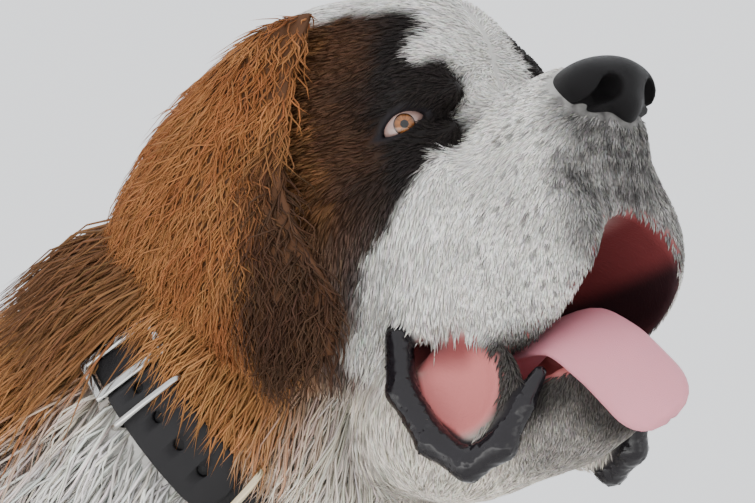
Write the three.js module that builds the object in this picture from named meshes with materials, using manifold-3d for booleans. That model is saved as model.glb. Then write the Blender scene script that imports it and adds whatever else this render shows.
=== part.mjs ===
// A long-haired Saint Bernard, life size, standing square with its head raised and turned to its
// right, mouth open and tongue out, wearing a wide leather collar. Millimetres, +Z up, floor at
// z = 0, the body facing +X and the dog's left at +Y.
import * as THREE from 'three';
import { mergeVertices } from 'three/addons/utils/BufferGeometryUtils.js';
import Module from 'manifold-3d';

const wasm = await Module();
wasm.setup();

// Driving dimensions
const WITHERS = 760; // floor to the top of the shoulders, over the coat
const FLOOR = 0;
const GAP = 0.3; // between pieces that touch
const FINEST = 0.15; // slivers thinner than this are taken out of a finished piece
const HEAD_YAW = -24; // degrees, towards the dog's right
const HEAD_PITCH = 17; // degrees, nose up
const HEAD_ROLL = -3;
const HEAD_PLACE = [578, -65, 917]; // midway between the eyes
const COLLAR_WIDTH = 38;
const COLLAR_THICK = 4;
const MIDDLE = [56, 0, 0]; // middle of the whole model's floor outline, seen from between the feet

// How far the coat's core stands off the skin, and how thick the locks over it lie
const COAT = { face: 3, trunk: 12, neck: 15, leg: 6, thigh: 9, tail: 12 };

const rad = THREE.MathUtils.degToRad;
const vec = (a) => new THREE.Vector3(...a);
const mix = THREE.MathUtils.lerp;

// A field is a function of a point: negative inside a form, about the distance to it outside.
const ball = ([cx, cy, cz], [rx, ry, rz]) => (x, y, z) => {
  const u = (x - cx) / rx;
  const v = (y - cy) / ry;
  const w = (z - cz) / rz;
  const near = Math.sqrt(u * u + v * v + w * w);
  const steep = Math.sqrt((u / rx) ** 2 + (v / ry) ** 2 + (w / rz) ** 2);
  return steep < 1e-9 ? -Math.min(rx, ry, rz) : (near * (near - 1)) / steep;
};

// A tapered bar with round ends.
const limb = (a, b, ra, rb) => {
  const [dx, dy, dz] = [b[0] - a[0], b[1] - a[1], b[2] - a[2]];
  const square = dx * dx + dy * dy + dz * dz;
  return (x, y, z) => {
    const along = ((x - a[0]) * dx + (y - a[1]) * dy + (z - a[2]) * dz) / square;
    const t = Math.min(1, Math.max(0, along));
    const [px, py, pz] = [x - a[0] - t * dx, y - a[1] - t * dy, z - a[2] - t * dz];
    return Math.sqrt(px * px + py * py + pz * pz) - ra - (rb - ra) * t;
  };
};

// The same form on both sides of the middle plane.
const paired = (field) => (x, y, z) => field(x, Math.abs(y), z);

// Forms melted together: soft is how wide the blend between them is.
const melt = (soft, ...fields) => (x, y, z) => {
  let d = 1e9;
  for (const field of fields) {
    const e = field(x, y, z);
    const h = Math.max(soft - Math.abs(d - e), 0) / soft;
    d = Math.min(d, e) - (h * h * soft) / 4;
  }
  return d;
};

// The head's own frame: x to the nose, y to the dog's left, z up, midway between the eyes.
const headTurn = new THREE.Matrix4()
  .makeRotationFromEuler(
    new THREE.Euler(rad(HEAD_ROLL), rad(-HEAD_PITCH), rad(HEAD_YAW), 'ZYX'),
  )
  .setPosition(...HEAD_PLACE);
const headBack = headTurn.clone().invert().elements;
const onHead = (a) => vec(a).applyMatrix4(headTurn);
const inHead = (field) => (x, y, z) => {
  const m = headBack;
  return field(
    m[0] * x + m[4] * y + m[8] * z + m[12],
    m[1] * x + m[5] * y + m[9] * z + m[13],
    m[2] * x + m[6] * y + m[10] * z + m[14],
  );
};

// Skeleton: where the joints lie, seen from between the feet, left side
const WITHERS_TOP = WITHERS - 50;
const ELBOW = [262, 118, 405];
const WRIST = [268, 112, 190];
const FORE_PAW = [300, 114, 40];
const KNEE = [-200, 128, 405];
const HOCK = [-372, 118, 225];
const HIND_PAW = [-342, 118, 40];
const TAIL_LINE = [
  [-345, 0, 640], [-420, 0, 590], [-458, -6, 490], [-462, -14, 370], [-478, -20, 262], [-520, -24, 210],
];

// Trunk
const trunkField = melt(
  60,
  ball([205, 0, 560], [190, 138, 172]),
  limb([120, 0, 580], [-150, 0, 588], 150, 136),
  ball([-255, 0, 600], [150, 118, 118]),
  limb([225, 0, WITHERS_TOP - 35], [60, 0, WITHERS_TOP - 45], 58, 52),
  ball([300, 0, 500], [95, 92, 110]),
);

// Neck
const NECK_LINE = [[215, 0, 590], [320, -4, 672], [425, -20, 762], [484, -31, 826]];
const neckField = melt(
  50,
  limb(NECK_LINE[0], NECK_LINE[1], 148, 126),
  limb(NECK_LINE[1], NECK_LINE[2], 126, 102),
  limb(NECK_LINE[2], NECK_LINE[3], 102, 90),
);

// Head: cranium, forehead, brows, cheeks, the ground under the eyes, muzzle and hanging lips
const headForms = melt(
  16,
  ball([-74, 0, 16], [90, 78, 86]),
  ball([-22, 0, 34], [48, 54, 54]),
  paired(ball([6, 36, 32], [22, 25, 22])),
  paired(ball([-72, 52, -42], [62, 34, 66])),
  paired(ball([-12, 44, -26], [42, 26, 36])),
  ball([46, 0, -20], [62, 37, 40]),
  ball([80, 0, -20], [28, 33, 38]),
  paired(ball([44, 33, -76], [58, 22, 50])),
  paired(ball([-2, 48, -66], [44, 19, 40])),
  paired(ball([77, 18, -58], [25, 25, 40])),
);
const mouthSpace = melt(10, ball([50, 0, -104], [84, 41, 46]), ball([-10, 0, -112], [34, 52, 24]));

// Lower jaw, hung open, with its drooping lips
const jawForms = melt(
  14,
  ball([-30, 0, -136], [60, 54, 44]),
  ball([24, 0, -152], [52, 38, 28]),
  ball([62, 0, -148], [24, 30, 19]),
  paired(ball([10, 48, -142], [36, 12, 34])),
);
const jawSpace = melt(8, ball([14, 0, -126], [66, 34, 30]), paired(ball([12, 62, -132], [28, 15, 26])));

// Legs of the left side: shoulder and foreleg, thigh, shank, and paws with four toes
const foreField = melt(
  30,
  limb([300, 98, 600], [352, 104, 500], 60, 66),
  limb([345, 106, 500], ELBOW, 62, 58),
  limb(ELBOW, WRIST, 52, 36),
  limb(WRIST, [286, 113, 66], 34, 33),
);
const thighField = melt(
  30,
  limb([-270, 88, 590], [-225, 110, 470], 98, 86),
  limb([-225, 110, 470], KNEE, 84, 62),
  limb([-300, 96, 500], [-300, 112, 380], 72, 46),
);
const shankField = melt(
  24,
  limb(KNEE, [-330, 122, 270], 58, 42),
  limb([-330, 122, 270], HOCK, 40, 36),
  limb(HOCK, [-360, 118, 80], 34, 33),
);
const TOES = [-33, -12, 12, 33];
const pawField = ([x, y, z]) =>
  melt(
    8,
    ball([x, y, z], [54, 45, 42]),
    limb([x - 20, y, z + 30], [x - 6, y, z + 4], 34, 36),
    ...TOES.map((side) => {
      const ahead = 40 - Math.abs(side) * 0.45;
      return limb([x + 6, y + side * 0.8, z + 4], [x + ahead, y + side, z - 16], 17, 16);
    }),
  );

const tailField = melt(
  20,
  ...TAIL_LINE.slice(1).map((to, i) => limb(TAIL_LINE[i], to, 40 - 5 * i, 36 - 5 * i)),
);

// Where a ray from inside a field first comes out of it.
function hit(field, level, at, ray) {
  const value = (r) => field(at.x + ray.x * r, at.y + ray.y * r, at.z + ray.z * r) - level;
  let [near, far] = [0, 1];
  while (value(far) < 0) {
    near = far;
    far += Math.max(1.5, -0.5 * value(far));
  }
  for (let i = 0; i < 22; i++) {
    const middle = (near + far) / 2;
    if (value(middle) < 0) near = middle;
    else far = middle;
  }
  return at.clone().addScaledVector(ray, far);
}

// The ray from a line that points some angle round it from its upper side.
function rayRound(along, up, angle) {
  const side = vec(up).cross(along).normalize();
  const top = along.clone().cross(side);
  return top.multiplyScalar(Math.cos(angle)).addScaledVector(side, Math.sin(angle));
}

// Wraps a closed skin round a field, by rays from a line inside it: rings along the line, and
// fans of rings over both ends.
function wrap(field, line, { rings, sides, ends = 3, level = 0, up = [0, 0, 1] }) {
  const curve = new THREE.CatmullRomCurve3(line.map(vec), false, 'centripetal');
  const rays = [];
  for (let k = -ends + 1; k < rings + ends; k++) {
    const t = THREE.MathUtils.clamp(k / (rings - 1), 0, 1);
    const past = k < 0 ? k : Math.max(0, k - rings + 1);
    rays.push({ at: curve.getPoint(t), along: curve.getTangent(t), tilt: (past * Math.PI) / (2 * ends) });
  }
  const points = [];
  for (const { at, along, tilt } of rays) {
    for (let j = 0; j < sides; j++) {
      const out = rayRound(along, up, (j / sides) * 2 * Math.PI);
      out.multiplyScalar(Math.cos(tilt)).addScaledVector(along, Math.sin(tilt));
      points.push(hit(field, level, at, out));
    }
  }
  const first = points.length;
  points.push(hit(field, level, rays[0].at, rays[0].along.clone().negate()));
  points.push(hit(field, level, rays.at(-1).at, rays.at(-1).along));
  const faces = [];
  const last = rays.length - 1;
  for (let j = 0; j < sides; j++) {
    const next = (j + 1) % sides;
    faces.push([first, next, j], [first + 1, last * sides + j, last * sides + next]);
    for (let i = 0; i < last; i++) {
      const [a, b] = [i * sides + j, i * sides + next];
      faces.push([a, b, b + sides], [a, b + sides, a + sides]);
    }
  }
  return shell(points, faces);
}

// A closed skin over rings of points. A row that isn't a loop gets a point over each end: the
// middle of the ring there, or the tip that is given.
function loft(rings, loop = false, tip = null) {
  const sides = rings[0].length;
  const points = rings.flat();
  const faces = [];
  const rows = loop ? rings.length : rings.length - 1;
  for (let i = 0; i < rows; i++) {
    for (let j = 0; j < sides; j++) {
      const next = (j + 1) % sides;
      const [a, b] = [i * sides + j, i * sides + next];
      const [c, d] = [((i + 1) % rings.length) * sides + j, ((i + 1) % rings.length) * sides + next];
      faces.push([a, b, d], [a, d, c]);
    }
  }
  if (!loop) {
    for (const [ring, turned] of [[0, true], [rings.length - 1, false]]) {
      const middle = rings[ring].reduce((sum, p) => sum.add(p), new THREE.Vector3()).divideScalar(sides);
      points.push(tip && !turned ? tip : middle);
      for (let j = 0; j < sides; j++) {
        const [a, b] = [ring * sides + j, ring * sides + ((j + 1) % sides)];
        faces.push(turned ? [points.length - 1, b, a] : [points.length - 1, a, b]);
      }
    }
  }
  return shell(points, faces);
}

// A closed geometry from points and faces.
function shell(points, faces) {
  const geometry = new THREE.BufferGeometry();
  geometry.setAttribute('position', new THREE.Float32BufferAttribute(points.flatMap((p) => p.toArray()), 3));
  geometry.setIndex(faces.flat());
  return geometry;
}

// A geometry as a solid that can be joined and cut, and back.
function solid(geometry) {
  const bare = geometry.clone();
  bare.deleteAttribute('normal');
  bare.deleteAttribute('uv');
  const merged = mergeVertices(bare, 1e-3);
  const made = new wasm.Manifold(
    new wasm.Mesh({
      numProp: 3,
      vertProperties: new Float32Array(merged.attributes.position.array),
      triVerts: new Uint32Array(merged.index.array),
    }),
  );
  if (made.volume() >= 0) return made;
  const turned = merged.index.array.slice().reverse();
  return new wasm.Manifold(
    new wasm.Mesh({
      numProp: 3,
      vertProperties: new Float32Array(merged.attributes.position.array),
      triVerts: new Uint32Array(turned),
    }),
  );
}
const joined = (solids) => wasm.Manifold.union(solids);
const cut = (body, ...cutters) => cutters.reduce((a, b) => a.subtract(b), body);
const largest = (body) => body.decompose().reduce((a, b) => (b.volume() > a.volume() ? b : a));

// Seeded draws, so that every build gives the same coat.
let seed = 7;
const draw = (low, high) => {
  seed = (seed * 16807) % 2147483647;
  return mix(low, high, seed / 2147483647);
};

// A flat tapered lock: its root is sunk, it bends along its lie and ends in a tip. Grown, it is
// the room that another piece leaves round it.
const EDGE_ROOM = 9; // a lock's thin edges need this many times the gap, sideways
const LOCK_ROWS = [[0, 0.8, 0.9], [0.4, 1, 1], [0.74, 0.66, 0.6]]; // along it, its width, its depth
function lockBody({ root, lie, out, length, width, thick, lift, bend }, grown = 0) {
  const side = lie.clone().cross(out).normalize();
  const place = (t, more = 0) =>
    root
      .clone()
      .addScaledVector(out, lift * Math.sin(2.2 * t) - thick * (1 - t))
      .addScaledVector(lie, length * t + more)
      .addScaledVector(side, bend * t * t);
  const rings = LOCK_ROWS.map(([t, wide, deep], row) => {
    const [half, rise] = [(width / 2) * wide + EDGE_ROOM * grown, (thick / 2) * deep];
    const corners = [[-half, -0.8 * rise - grown], [0, rise + 1.2 * grown], [half, -0.8 * rise - grown]];
    const at = place(t, row === 0 ? -grown : 0);
    return corners.map(([a, b]) => at.clone().addScaledVector(side, a).addScaledVector(out, b));
  });
  return solid(loft(rings, false, place(1, EDGE_ROOM * grown)));
}

// The way out of a field's surface.
function outward(field, { x, y, z }) {
  const e = 2;
  const slope = (dx, dy, dz) => field(x + dx, y + dy, z + dz) - field(x - dx, y - dy, z - dz);
  return vec([slope(e, 0, 0), slope(0, e, 0), slope(0, 0, e)]).normalize();
}

// Locks in staggered rows round a form. lie gives the way that a lock lies at a root, size its
// length, width, depth and lift, and keep leaves out the roots that another form covers.
function coat(field, level, line, { rows, places, span = [0, 1], up = [0, 0, 1], lie, size, keep }) {
  const curve = new THREE.CatmullRomCurve3(line.map(vec), false, 'centripetal');
  const found = [];
  for (let i = 0; i < rows; i++) {
    const t = mix(...span, rows > 1 ? i / (rows - 1) : 0);
    for (let j = 0; j < places; j++) {
      const place = THREE.MathUtils.clamp(t + draw(-0.25, 0.25) / rows, 0, 1);
      const angle = ((j + (i % 2) / 2 + draw(-0.2, 0.2)) / places) * 2 * Math.PI;
      const [at, along] = [curve.getPoint(place), curve.getTangent(place)];
      const root = hit(field, level, at, rayRound(along, up, angle));
      const [longer, bend] = [draw(0.85, 1.15), draw(-0.22, 0.22)];
      if (!keep(root)) continue;
      const out = outward(field, root);
      const [length, width, thick, lift] = size(root, out);
      const down = lie(root, out, along).projectOnPlane(out).normalize();
      found.push({ root, lie: down, out, length: length * longer, width, thick, lift, bend: bend * length });
    }
  }
  return found;
}
const dress = (core, found, grown = 0) => joined([core, ...found.map((lock) => lockBody(lock, grown))]);

// The model's group; each node is one mesh.
const model = new THREE.Group();
function add(name, body, colour, roughness = 0.9, metalness = 0) {
  const mesh = largest(body).simplify(FINEST).getMesh();
  const geometry = new THREE.BufferGeometry();
  geometry.setAttribute('position', new THREE.BufferAttribute(mesh.vertProperties, 3));
  geometry.setIndex(new THREE.BufferAttribute(mesh.triVerts, 1));
  geometry.computeVertexNormals();
  const material = new THREE.MeshStandardMaterial({ color: colour, roughness, metalness });
  const node = new THREE.Mesh(geometry, material);
  node.name = name;
  model.add(node);
}

// The same solid on the dog's right side.
const mirrored = (body) => body.mirror([0, 1, 0]);

const COLOURS = {
  white: 0xf1ebe1, rust: 0x8a4a22, dark: 0x2b2320, skin: 0x1d1a1b, tongue: 0xe79aa6,
  iris: 0x6b3a1e, leather: 0x191716, metal: 0xb9b2a0,
};

// Eyes, with the rim of each pair of lids as a bent almond ring
const EYE = { place: [3, 48, 10], radius: 13, wide: 13.5, tall: 7, rim: 3 };
const eyeOut = vec([0.55, 0.82, 0.1]).normalize();
const eyeAcross = vec([0.72, -0.52, 0.28]).projectOnPlane(eyeOut).normalize();
const eyeUp = eyeOut.clone().cross(eyeAcross).multiplyScalar(-1);
const onEye = (across, rise, off, side) => {
  const p = vec(EYE.place)
    .addScaledVector(eyeOut, off)
    .addScaledVector(eyeAcross, across)
    .addScaledVector(eyeUp, rise);
  return onHead([p.x, p.y * side, p.z]);
};
const almond = (angle, grown = 0) => {
  const across = Math.cos(angle) * (EYE.wide + grown);
  const rise = Math.sin(angle) * (EYE.tall + grown) * (1 - 0.25 * Math.cos(angle) ** 2);
  return [across, rise];
};
const around = (count) => Array.from({ length: count }, (_, i) => (i / count) * 2 * Math.PI);
function lidRing(side) {
  const rings = around(12).map((angle) =>
    around(5).map((turn) => {
      const [across, rise] = almond(angle, EYE.rim * (0.6 + Math.cos(turn)));
      const face = Math.sqrt(Math.max(0, EYE.radius ** 2 - across ** 2 * 0.7 - rise ** 2));
      return onEye(across, rise, face + EYE.rim * Math.sin(turn), side);
    }),
  );
  return solid(loft(rings, true));
}
function eyeCut(side) {
  const rows = [0, 40].map((off) => around(12).map((angle) => onEye(...almond(angle), off, side)));
  return solid(loft(rows));
}
function eyeBall(side, grown = 0) {
  const sphere = new THREE.SphereGeometry(EYE.radius + grown, 12, 8);
  const at = onEye(0, 0, 0, side);
  return solid(sphere.translate(at.x, at.y, at.z));
}

// Nose pad with its comma-shaped nostrils
const NOSTRIL = [117, 14.5, -5];
const noseForms = melt(
  8,
  ball([96, 0, 4], [27, 26, 16]),
  paired(ball([104, 16, -1], [14, 12, 13])),
  ball([110, 0, -10], [10, 9, 10]),
);
const nostrilForms = melt(6, paired(ball(NOSTRIL, [9, 5, 5.5])), paired(limb([110, 20, -8], [98, 27, -12], 3, 1.5)));
const onHeadAll = (line) => line.map((p) => onHead(p).toArray());
const noseWrap = (level) =>
  solid(wrap(inHead(noseForms), onHeadAll([[92, 0, 2], [110, 0, -4]]), { rings: 4, sides: 16, ends: 3, level }));
const nostrilCut = (side) =>
  solid(
    wrap(inHead(nostrilForms), onHeadAll([[112, side * 17, -6], [119, side * 14, -5]]), {
      rings: 4, sides: 10, ends: 2,
    }),
  );

// Neck's core, which the head, the jaw and the ears are cut to
const neckWrap = (level) => solid(wrap(neckField, NECK_LINE, { rings: 7, sides: 20, ends: 3, level }));
const neckGrown = neckWrap(COAT.neck + GAP);

// Head
const headLine = onHeadAll([[-120, 0, -8], [-40, 0, -14], [30, 0, -34], [84, 0, -34]]);
const headWrap = (level) => solid(wrap(inHead(headForms), headLine, { rings: 15, sides: 20, ends: 4, level }));
const mouthLine = onHeadAll([[-20, 0, -108], [20, 0, -106], [60, 0, -104], [110, 0, -104]]);
const mouthCut = solid(wrap(inHead(mouthSpace), mouthLine, { rings: 6, sides: 12, ends: 3 }));
const sides = [1, -1];
const headGrown = cut(headWrap(COAT.face + GAP), mouthCut);
const headCore = cut(
  joined([cut(headWrap(COAT.face), mouthCut), ...sides.map(lidRing)]),
  ...sides.map(eyeCut),
  ...sides.map((side) => eyeBall(side, GAP)),
  noseWrap(GAP),
  neckGrown,
);
add('head', headCore, COLOURS.dark);
add('nose', cut(noseWrap(0), ...sides.map(nostrilCut)), COLOURS.skin, 0.5);
add('eye_left', eyeBall(1), COLOURS.iris, 0.1);
add('eye_right', eyeBall(-1), COLOURS.iris, 0.1);

// Jaw
const jawLine = onHeadAll([[-40, 0, -144], [10, 0, -156], [62, 0, -164]]);
const jawCutLine = onHeadAll([[-30, 0, -128], [20, 0, -126], [50, 0, -128]]);
const jawCut = solid(wrap(inHead(jawSpace), jawCutLine, { rings: 5, sides: 12, ends: 3 }));
const jawWrap = (level) => solid(wrap(inHead(jawForms), jawLine, { rings: 7, sides: 16, ends: 3, level }));

// Tongue: a long flat bar that bends over the lower lip, turns its face outwards and hangs. Each
// place along it has the way that its width runs.
const TONGUE_LINE = [[-10, 0, -122], [30, -8, -114], [62, -18, -116], [86, -24, -134], [104, -26, -156], [120, -26, -180]];
const TONGUE_TURN = [[0, 1, 0.1], [0, 1, 0.3], [0.15, 0.8, 0.55], [0.4, 0.62, 0.62], [0.5, 0.52, 0.6], [0.55, 0.5, 0.6]];
const TONGUE = { half: 21, thick: 5, steps: 12, sides: 10 };
function tongueBody(grown = 0) {
  const line = new THREE.CatmullRomCurve3(TONGUE_LINE.map(vec), false, 'centripetal');
  const turns = new THREE.CatmullRomCurve3(TONGUE_TURN.map(vec), false, 'centripetal');
  const rings = [];
  for (let i = 0; i <= TONGUE.steps; i++) {
    const t = i / TONGUE.steps;
    const tip = Math.sqrt(Math.max(0.04, 1 - Math.max(0, (t - 0.84) / 0.16) ** 2));
    const along = line.getTangent(t);
    const across = turns.getPoint(t).projectOnPlane(along).normalize();
    const flat = along.clone().cross(across);
    const half = TONGUE.half * tip + grown;
    const thick = TONGUE.thick * (0.4 + 0.6 * tip) + 1.4 * grown;
    const past = i === 0 ? -grown : i === TONGUE.steps ? grown : 0;
    const at = line.getPoint(t).addScaledVector(along, past);
    rings.push(
      around(TONGUE.sides).map((turn) => {
        const bent = Math.sin(turn) * thick - 2.5 * Math.cos(turn) ** 2;
        const p = at.clone().addScaledVector(flat, bent).addScaledVector(across, Math.cos(turn) * half);
        return onHead(p.toArray());
      }),
    );
  }
  return solid(loft(rings));
}
add('jaw', cut(jawWrap(COAT.face), jawCut, headGrown, tongueBody(GAP), neckGrown), COLOURS.white);
add('tongue', cut(tongueBody(), headGrown), COLOURS.tongue, 0.35);

// Ears: a hanging flap each, hollowed on the side of the cheek. Each row is the middle of the
// flap, its half width and how far it bulges, from the root down to the tip.
const EAR_ROWS = [
  [[-54, 66, 86], 18, 8], [[-76, 86, 66], 42, 16], [[-98, 104, 32], 60, 20], [[-110, 113, -6], 70, 20],
  [[-98, 117, -44], 68, 18], [[-62, 116, -84], 47, 14], [[-50, 112, -112], 24, 8],
];
const EAR_THICK = 7;
function earBody(side, grown = 0) {
  const rings = EAR_ROWS.map(([middle, half, bulge], row) => {
    const count = 6;
    const end = row === 0 ? 1 : row === EAR_ROWS.length - 1 ? -1 : 0;
    const ring = [];
    for (const face of [1, -1]) {
      for (let j = 0; j < count; j++) {
        const u = face * (1 - (2 * j + 1) / count);
        const edge = Math.sqrt(1 - u * u * 0.8);
        const off = bulge * (1 - u * u) + face * (EAR_THICK * 0.5 * edge + grown);
        const x = middle[0] + u * (half + grown);
        const y = middle[1] - bulge + off;
        ring.push(onHead([x, side * y, middle[2] + end * grown]));
      }
    }
    return ring;
  });
  return solid(loft(rings));
}
// Wavy hair over the upper and back part of each ear, rooted on the outer face.
const EAR_ROOTS = [[1, -0.6], [1, 0.2], [2, -0.75], [2, 0], [3, -0.8], [3, -0.1], [4, -0.7], [4, 0.3], [5, -0.2]];
function earLocks(side) {
  const [tail, down, off] = ['x', 'z', 'y'].map((axis) => new THREE.Vector3().setComponent('xyz'.indexOf(axis), 1));
  const turn = new THREE.Matrix4().extractRotation(headTurn);
  return EAR_ROOTS.map(([row, u]) => {
    const [middle, half, bulge] = EAR_ROWS[row];
    const root = onHead([middle[0] + u * half, side * (middle[1] - bulge * u * u + EAR_THICK * 0.4), middle[2]]);
    const out = vec([u * 0.35, 0, 0]).addScaledVector(off, side).normalize().transformDirection(turn);
    const back = u < 0 ? 0.75 : 0.25;
    const lie = tail.clone().multiplyScalar(-back).addScaledVector(down, -1).transformDirection(turn);
    const length = 46 + 14 * (u < 0) + 6 * row * 0.5;
    return { root, lie: lie.projectOnPlane(out).normalize(), out, length, width: 44, thick: 6, lift: 2.5,
      bend: draw(-0.2, 0.2) * length };
  });
}
const earHair = new Map(sides.map((side) => [side, earLocks(side)]));
const earDressed = (side, grown = 0) => dress(earBody(side, grown), earHair.get(side), grown);

// Collar: every piece is set on a band round the neck, by the angle from the nape towards the
// dog's right, the place across the strap and the height over the inside of the strap
const COLLAR_PLACE = [450, -25, 789];
const COLLAR_LEVEL = 7;
const collarAxis = vec([0.77, -0.15, 0.62]).normalize();
const collarTop = vec([0, 0, 1]).projectOnPlane(collarAxis).normalize();
const collarSide = collarTop.clone().cross(collarAxis).multiplyScalar(-1);
function onBand(angle, across, height) {
  const out = collarTop.clone().multiplyScalar(Math.cos(angle)).addScaledVector(collarSide, Math.sin(angle));
  const at = vec(COLLAR_PLACE).addScaledVector(collarAxis, across);
  let [near, far] = [40, 260];
  for (let i = 0; i < 24; i++) {
    const r = (near + far) / 2;
    const p = at.clone().addScaledVector(out, r);
    if (neckField(p.x, p.y, p.z) < COLLAR_LEVEL) near = r;
    else far = r;
  }
  return at.addScaledVector(out, near + height);
}
const STRAP_SIDES = 28;
const HALF_STRAP = COLLAR_WIDTH / 2;
// A flat bar bent round the band from one angle to another, with its half width at each place.
function strapPiece(from, to, steps, low, high, half) {
  const loop = to - from >= 2 * Math.PI;
  const rings = [];
  for (let i = 0; i <= steps - (loop ? 1 : 0); i++) {
    const t = i / steps;
    const angle = mix(from, to, t);
    const w = half(t);
    rings.push([onBand(angle, -w, low), onBand(angle, w, low), onBand(angle, w, high), onBand(angle, -w, high)]);
  }
  return solid(loft(rings, loop));
}
// A bar of square section bent into a loop through corners given across and over the strap.
function barLoop(angle, corners, bar) {
  const step = bar / 110;
  const rings = corners.map(([across, height], i) => {
    const before = corners[(i + corners.length - 1) % corners.length];
    const after = corners[(i + 1) % corners.length];
    const run = new THREE.Vector2(after[0] - before[0], after[1] - before[1]).normalize();
    const side = (o) => [across + run.y * o * bar * 0.5, height - run.x * o * bar * 0.5];
    return [
      onBand(angle - step / 2, ...side(-1)),
      onBand(angle - step / 2, ...side(1)),
      onBand(angle + step / 2, ...side(1)),
      onBand(angle + step / 2, ...side(-1)),
    ];
  });
  return solid(loft(rings, true));
}
// Round the band, in degrees from the nape: the buckle's frame, its keeper, the holes, the end
const FRAME_SPAN = [72, 84];
const KEEPER_AT = 92;
const HOLES_AT = [87.5, 96.5, 105, 113.5];
const END_AT = 122;
const TONGUE_FROM = rad(FRAME_SPAN[1] + 1);
const TONGUE_TO = rad(END_AT);
const ON_STRAP = COLLAR_THICK + GAP;
const ON_TONGUE = ON_STRAP + COLLAR_THICK + GAP;
const roundEnd = (t) => HALF_STRAP * Math.sqrt(Math.max(0.02, 1 - Math.max(0, (t - 0.8) / 0.2) ** 2)) - 1.5;
function strapHole(angle) {
  const rows = [-1, 1].map((end) =>
    around(6).map((turn) =>
      onBand(angle + (Math.cos(turn) * 3.2) / 115, Math.sin(turn) * 3.2, ON_STRAP + 2 + end * 6),
    ),
  );
  return solid(loft(rows));
}
const strap = strapPiece(0, 2 * Math.PI, STRAP_SIDES, 0, COLLAR_THICK, () => HALF_STRAP);
const strapTongue = strapPiece(TONGUE_FROM, TONGUE_TO, 9, ON_STRAP, ON_STRAP + COLLAR_THICK, roundEnd);
const keeperCorners = (grown) => {
  const wide = HALF_STRAP + 2.2 + grown;
  return [[-wide, -2.6], [wide, -2.6], [wide, ON_TONGUE + 2.4], [-wide, ON_TONGUE + 2.4]];
};
const KEEPER_BAR = 3;
const keeper = barLoop(rad(KEEPER_AT), keeperCorners(0), KEEPER_BAR);
const frame = cut(
  strapPiece(...FRAME_SPAN.map(rad), 2, ON_STRAP + GAP, ON_STRAP + 3.8, () => HALF_STRAP + 4),
  strapPiece(rad(FRAME_SPAN[0] + 2), rad(FRAME_SPAN[1] - 2), 1, -8, ON_STRAP + 20, () => HALF_STRAP),
);
const ringCorners = Array.from({ length: 13 }, (_, i) => {
  const turn = (i / 12) * Math.PI;
  return [Math.cos(turn) * (HALF_STRAP + 3), ON_TONGUE + 1 + Math.sin(turn) * 9];
});
const dring = barLoop(rad(END_AT + 1.5), [[HALF_STRAP + 3, -2.6], ...ringCorners, [-HALF_STRAP - 3, -2.6]], KEEPER_BAR);
// The room that the collar takes in the neck, up to some height over the strap's own face.
function collarSpaceOver(height) {
  const bar = (angle) => strapPiece(rad(angle - 1.6), rad(angle + 1.6), 1, -4.6, height + 18, () => HALF_STRAP + 6);
  return joined([
    strapPiece(0, 2 * Math.PI, STRAP_SIDES, -GAP, height + 0.4, () => HALF_STRAP + GAP),
    strapPiece(TONGUE_FROM - 0.02, TONGUE_TO + 0.02, 3, 0, height + 5, () => HALF_STRAP + GAP),
    strapPiece(rad(FRAME_SPAN[0] - 1), rad(FRAME_SPAN[1] + 1), 2, ON_STRAP - GAP, height + 5, () => HALF_STRAP + 5),
    bar(KEEPER_AT),
    bar(END_AT + 1.5),
  ]);
}
const OVER_COAT = 60;
const collarSpace = collarSpaceOver(OVER_COAT);

const earSpace = sides.map((side) => earDressed(side, GAP));

// The ruff: a fringe before the collar that falls over its edge, and long locks behind it that
// lie back over the shoulders and down the chest
const alongCollar = (p) => p.clone().sub(vec(COLLAR_PLACE)).dot(collarAxis);
const clearOf = (field, room) => (p) => field(p.x, p.y, p.z) > room;
const outsideHead = clearOf(inHead(headForms), 4);
const outsideJaw = clearOf(inHead(jawForms), 4);
const outsideTrunk = clearOf(trunkField, COAT.trunk - 6);
const ruffLie = (p, out, along) => along.clone().multiplyScalar(-0.8).add(vec([0, 0, -0.55]));
const fringe = coat(neckField, COAT.neck, NECK_LINE, {
  rows: 1, places: 12, span: [0.8, 0.8], lie: ruffLie,
  size: () => [56, 60, 9, 12],
  keep: (p) => outsideHead(p) && outsideJaw(p) && alongCollar(p) > HALF_STRAP + 12,
});
const ruff = coat(neckField, COAT.neck, NECK_LINE, {
  rows: 3, places: 9, span: [0.16, 0.46], lie: ruffLie,
  size: (p) => [p.z < 620 ? 140 : 120, 110, 13, 12],
  keep: (p) => outsideTrunk(p) && alongCollar(p) < -HALF_STRAP - 8,
});
const neckHair = [...fringe, ...ruff];
const jawGrown = jawWrap(COAT.face + GAP);
const neckLocks = cut(
  joined(neckHair.map((lock) => lockBody(lock))),
  headGrown,
  jawGrown,
  collarSpaceOver(COLLAR_THICK + GAP),
  ...earSpace,
);
const neckCore = cut(neckWrap(COAT.neck), collarSpace);
add('neck', joined([neckCore, neckLocks]), COLOURS.rust);
const neckSpace = dress(neckWrap(COAT.neck + GAP), neckHair, GAP);
add('collar_strap', strap, COLOURS.leather, 0.5);
add('collar_tongue', cut(strapTongue, ...HOLES_AT.map(rad).map(strapHole)), COLOURS.leather, 0.5);
add('collar_keeper', keeper, COLOURS.metal, 0.3, 1);
add('collar_frame', frame, COLOURS.metal, 0.3, 1);
add('collar_ring', dring, COLOURS.metal, 0.3, 1);
sides.forEach((side) => add(side > 0 ? 'ear_left' : 'ear_right', cut(earDressed(side), headGrown, neckGrown), COLOURS.rust));

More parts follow.
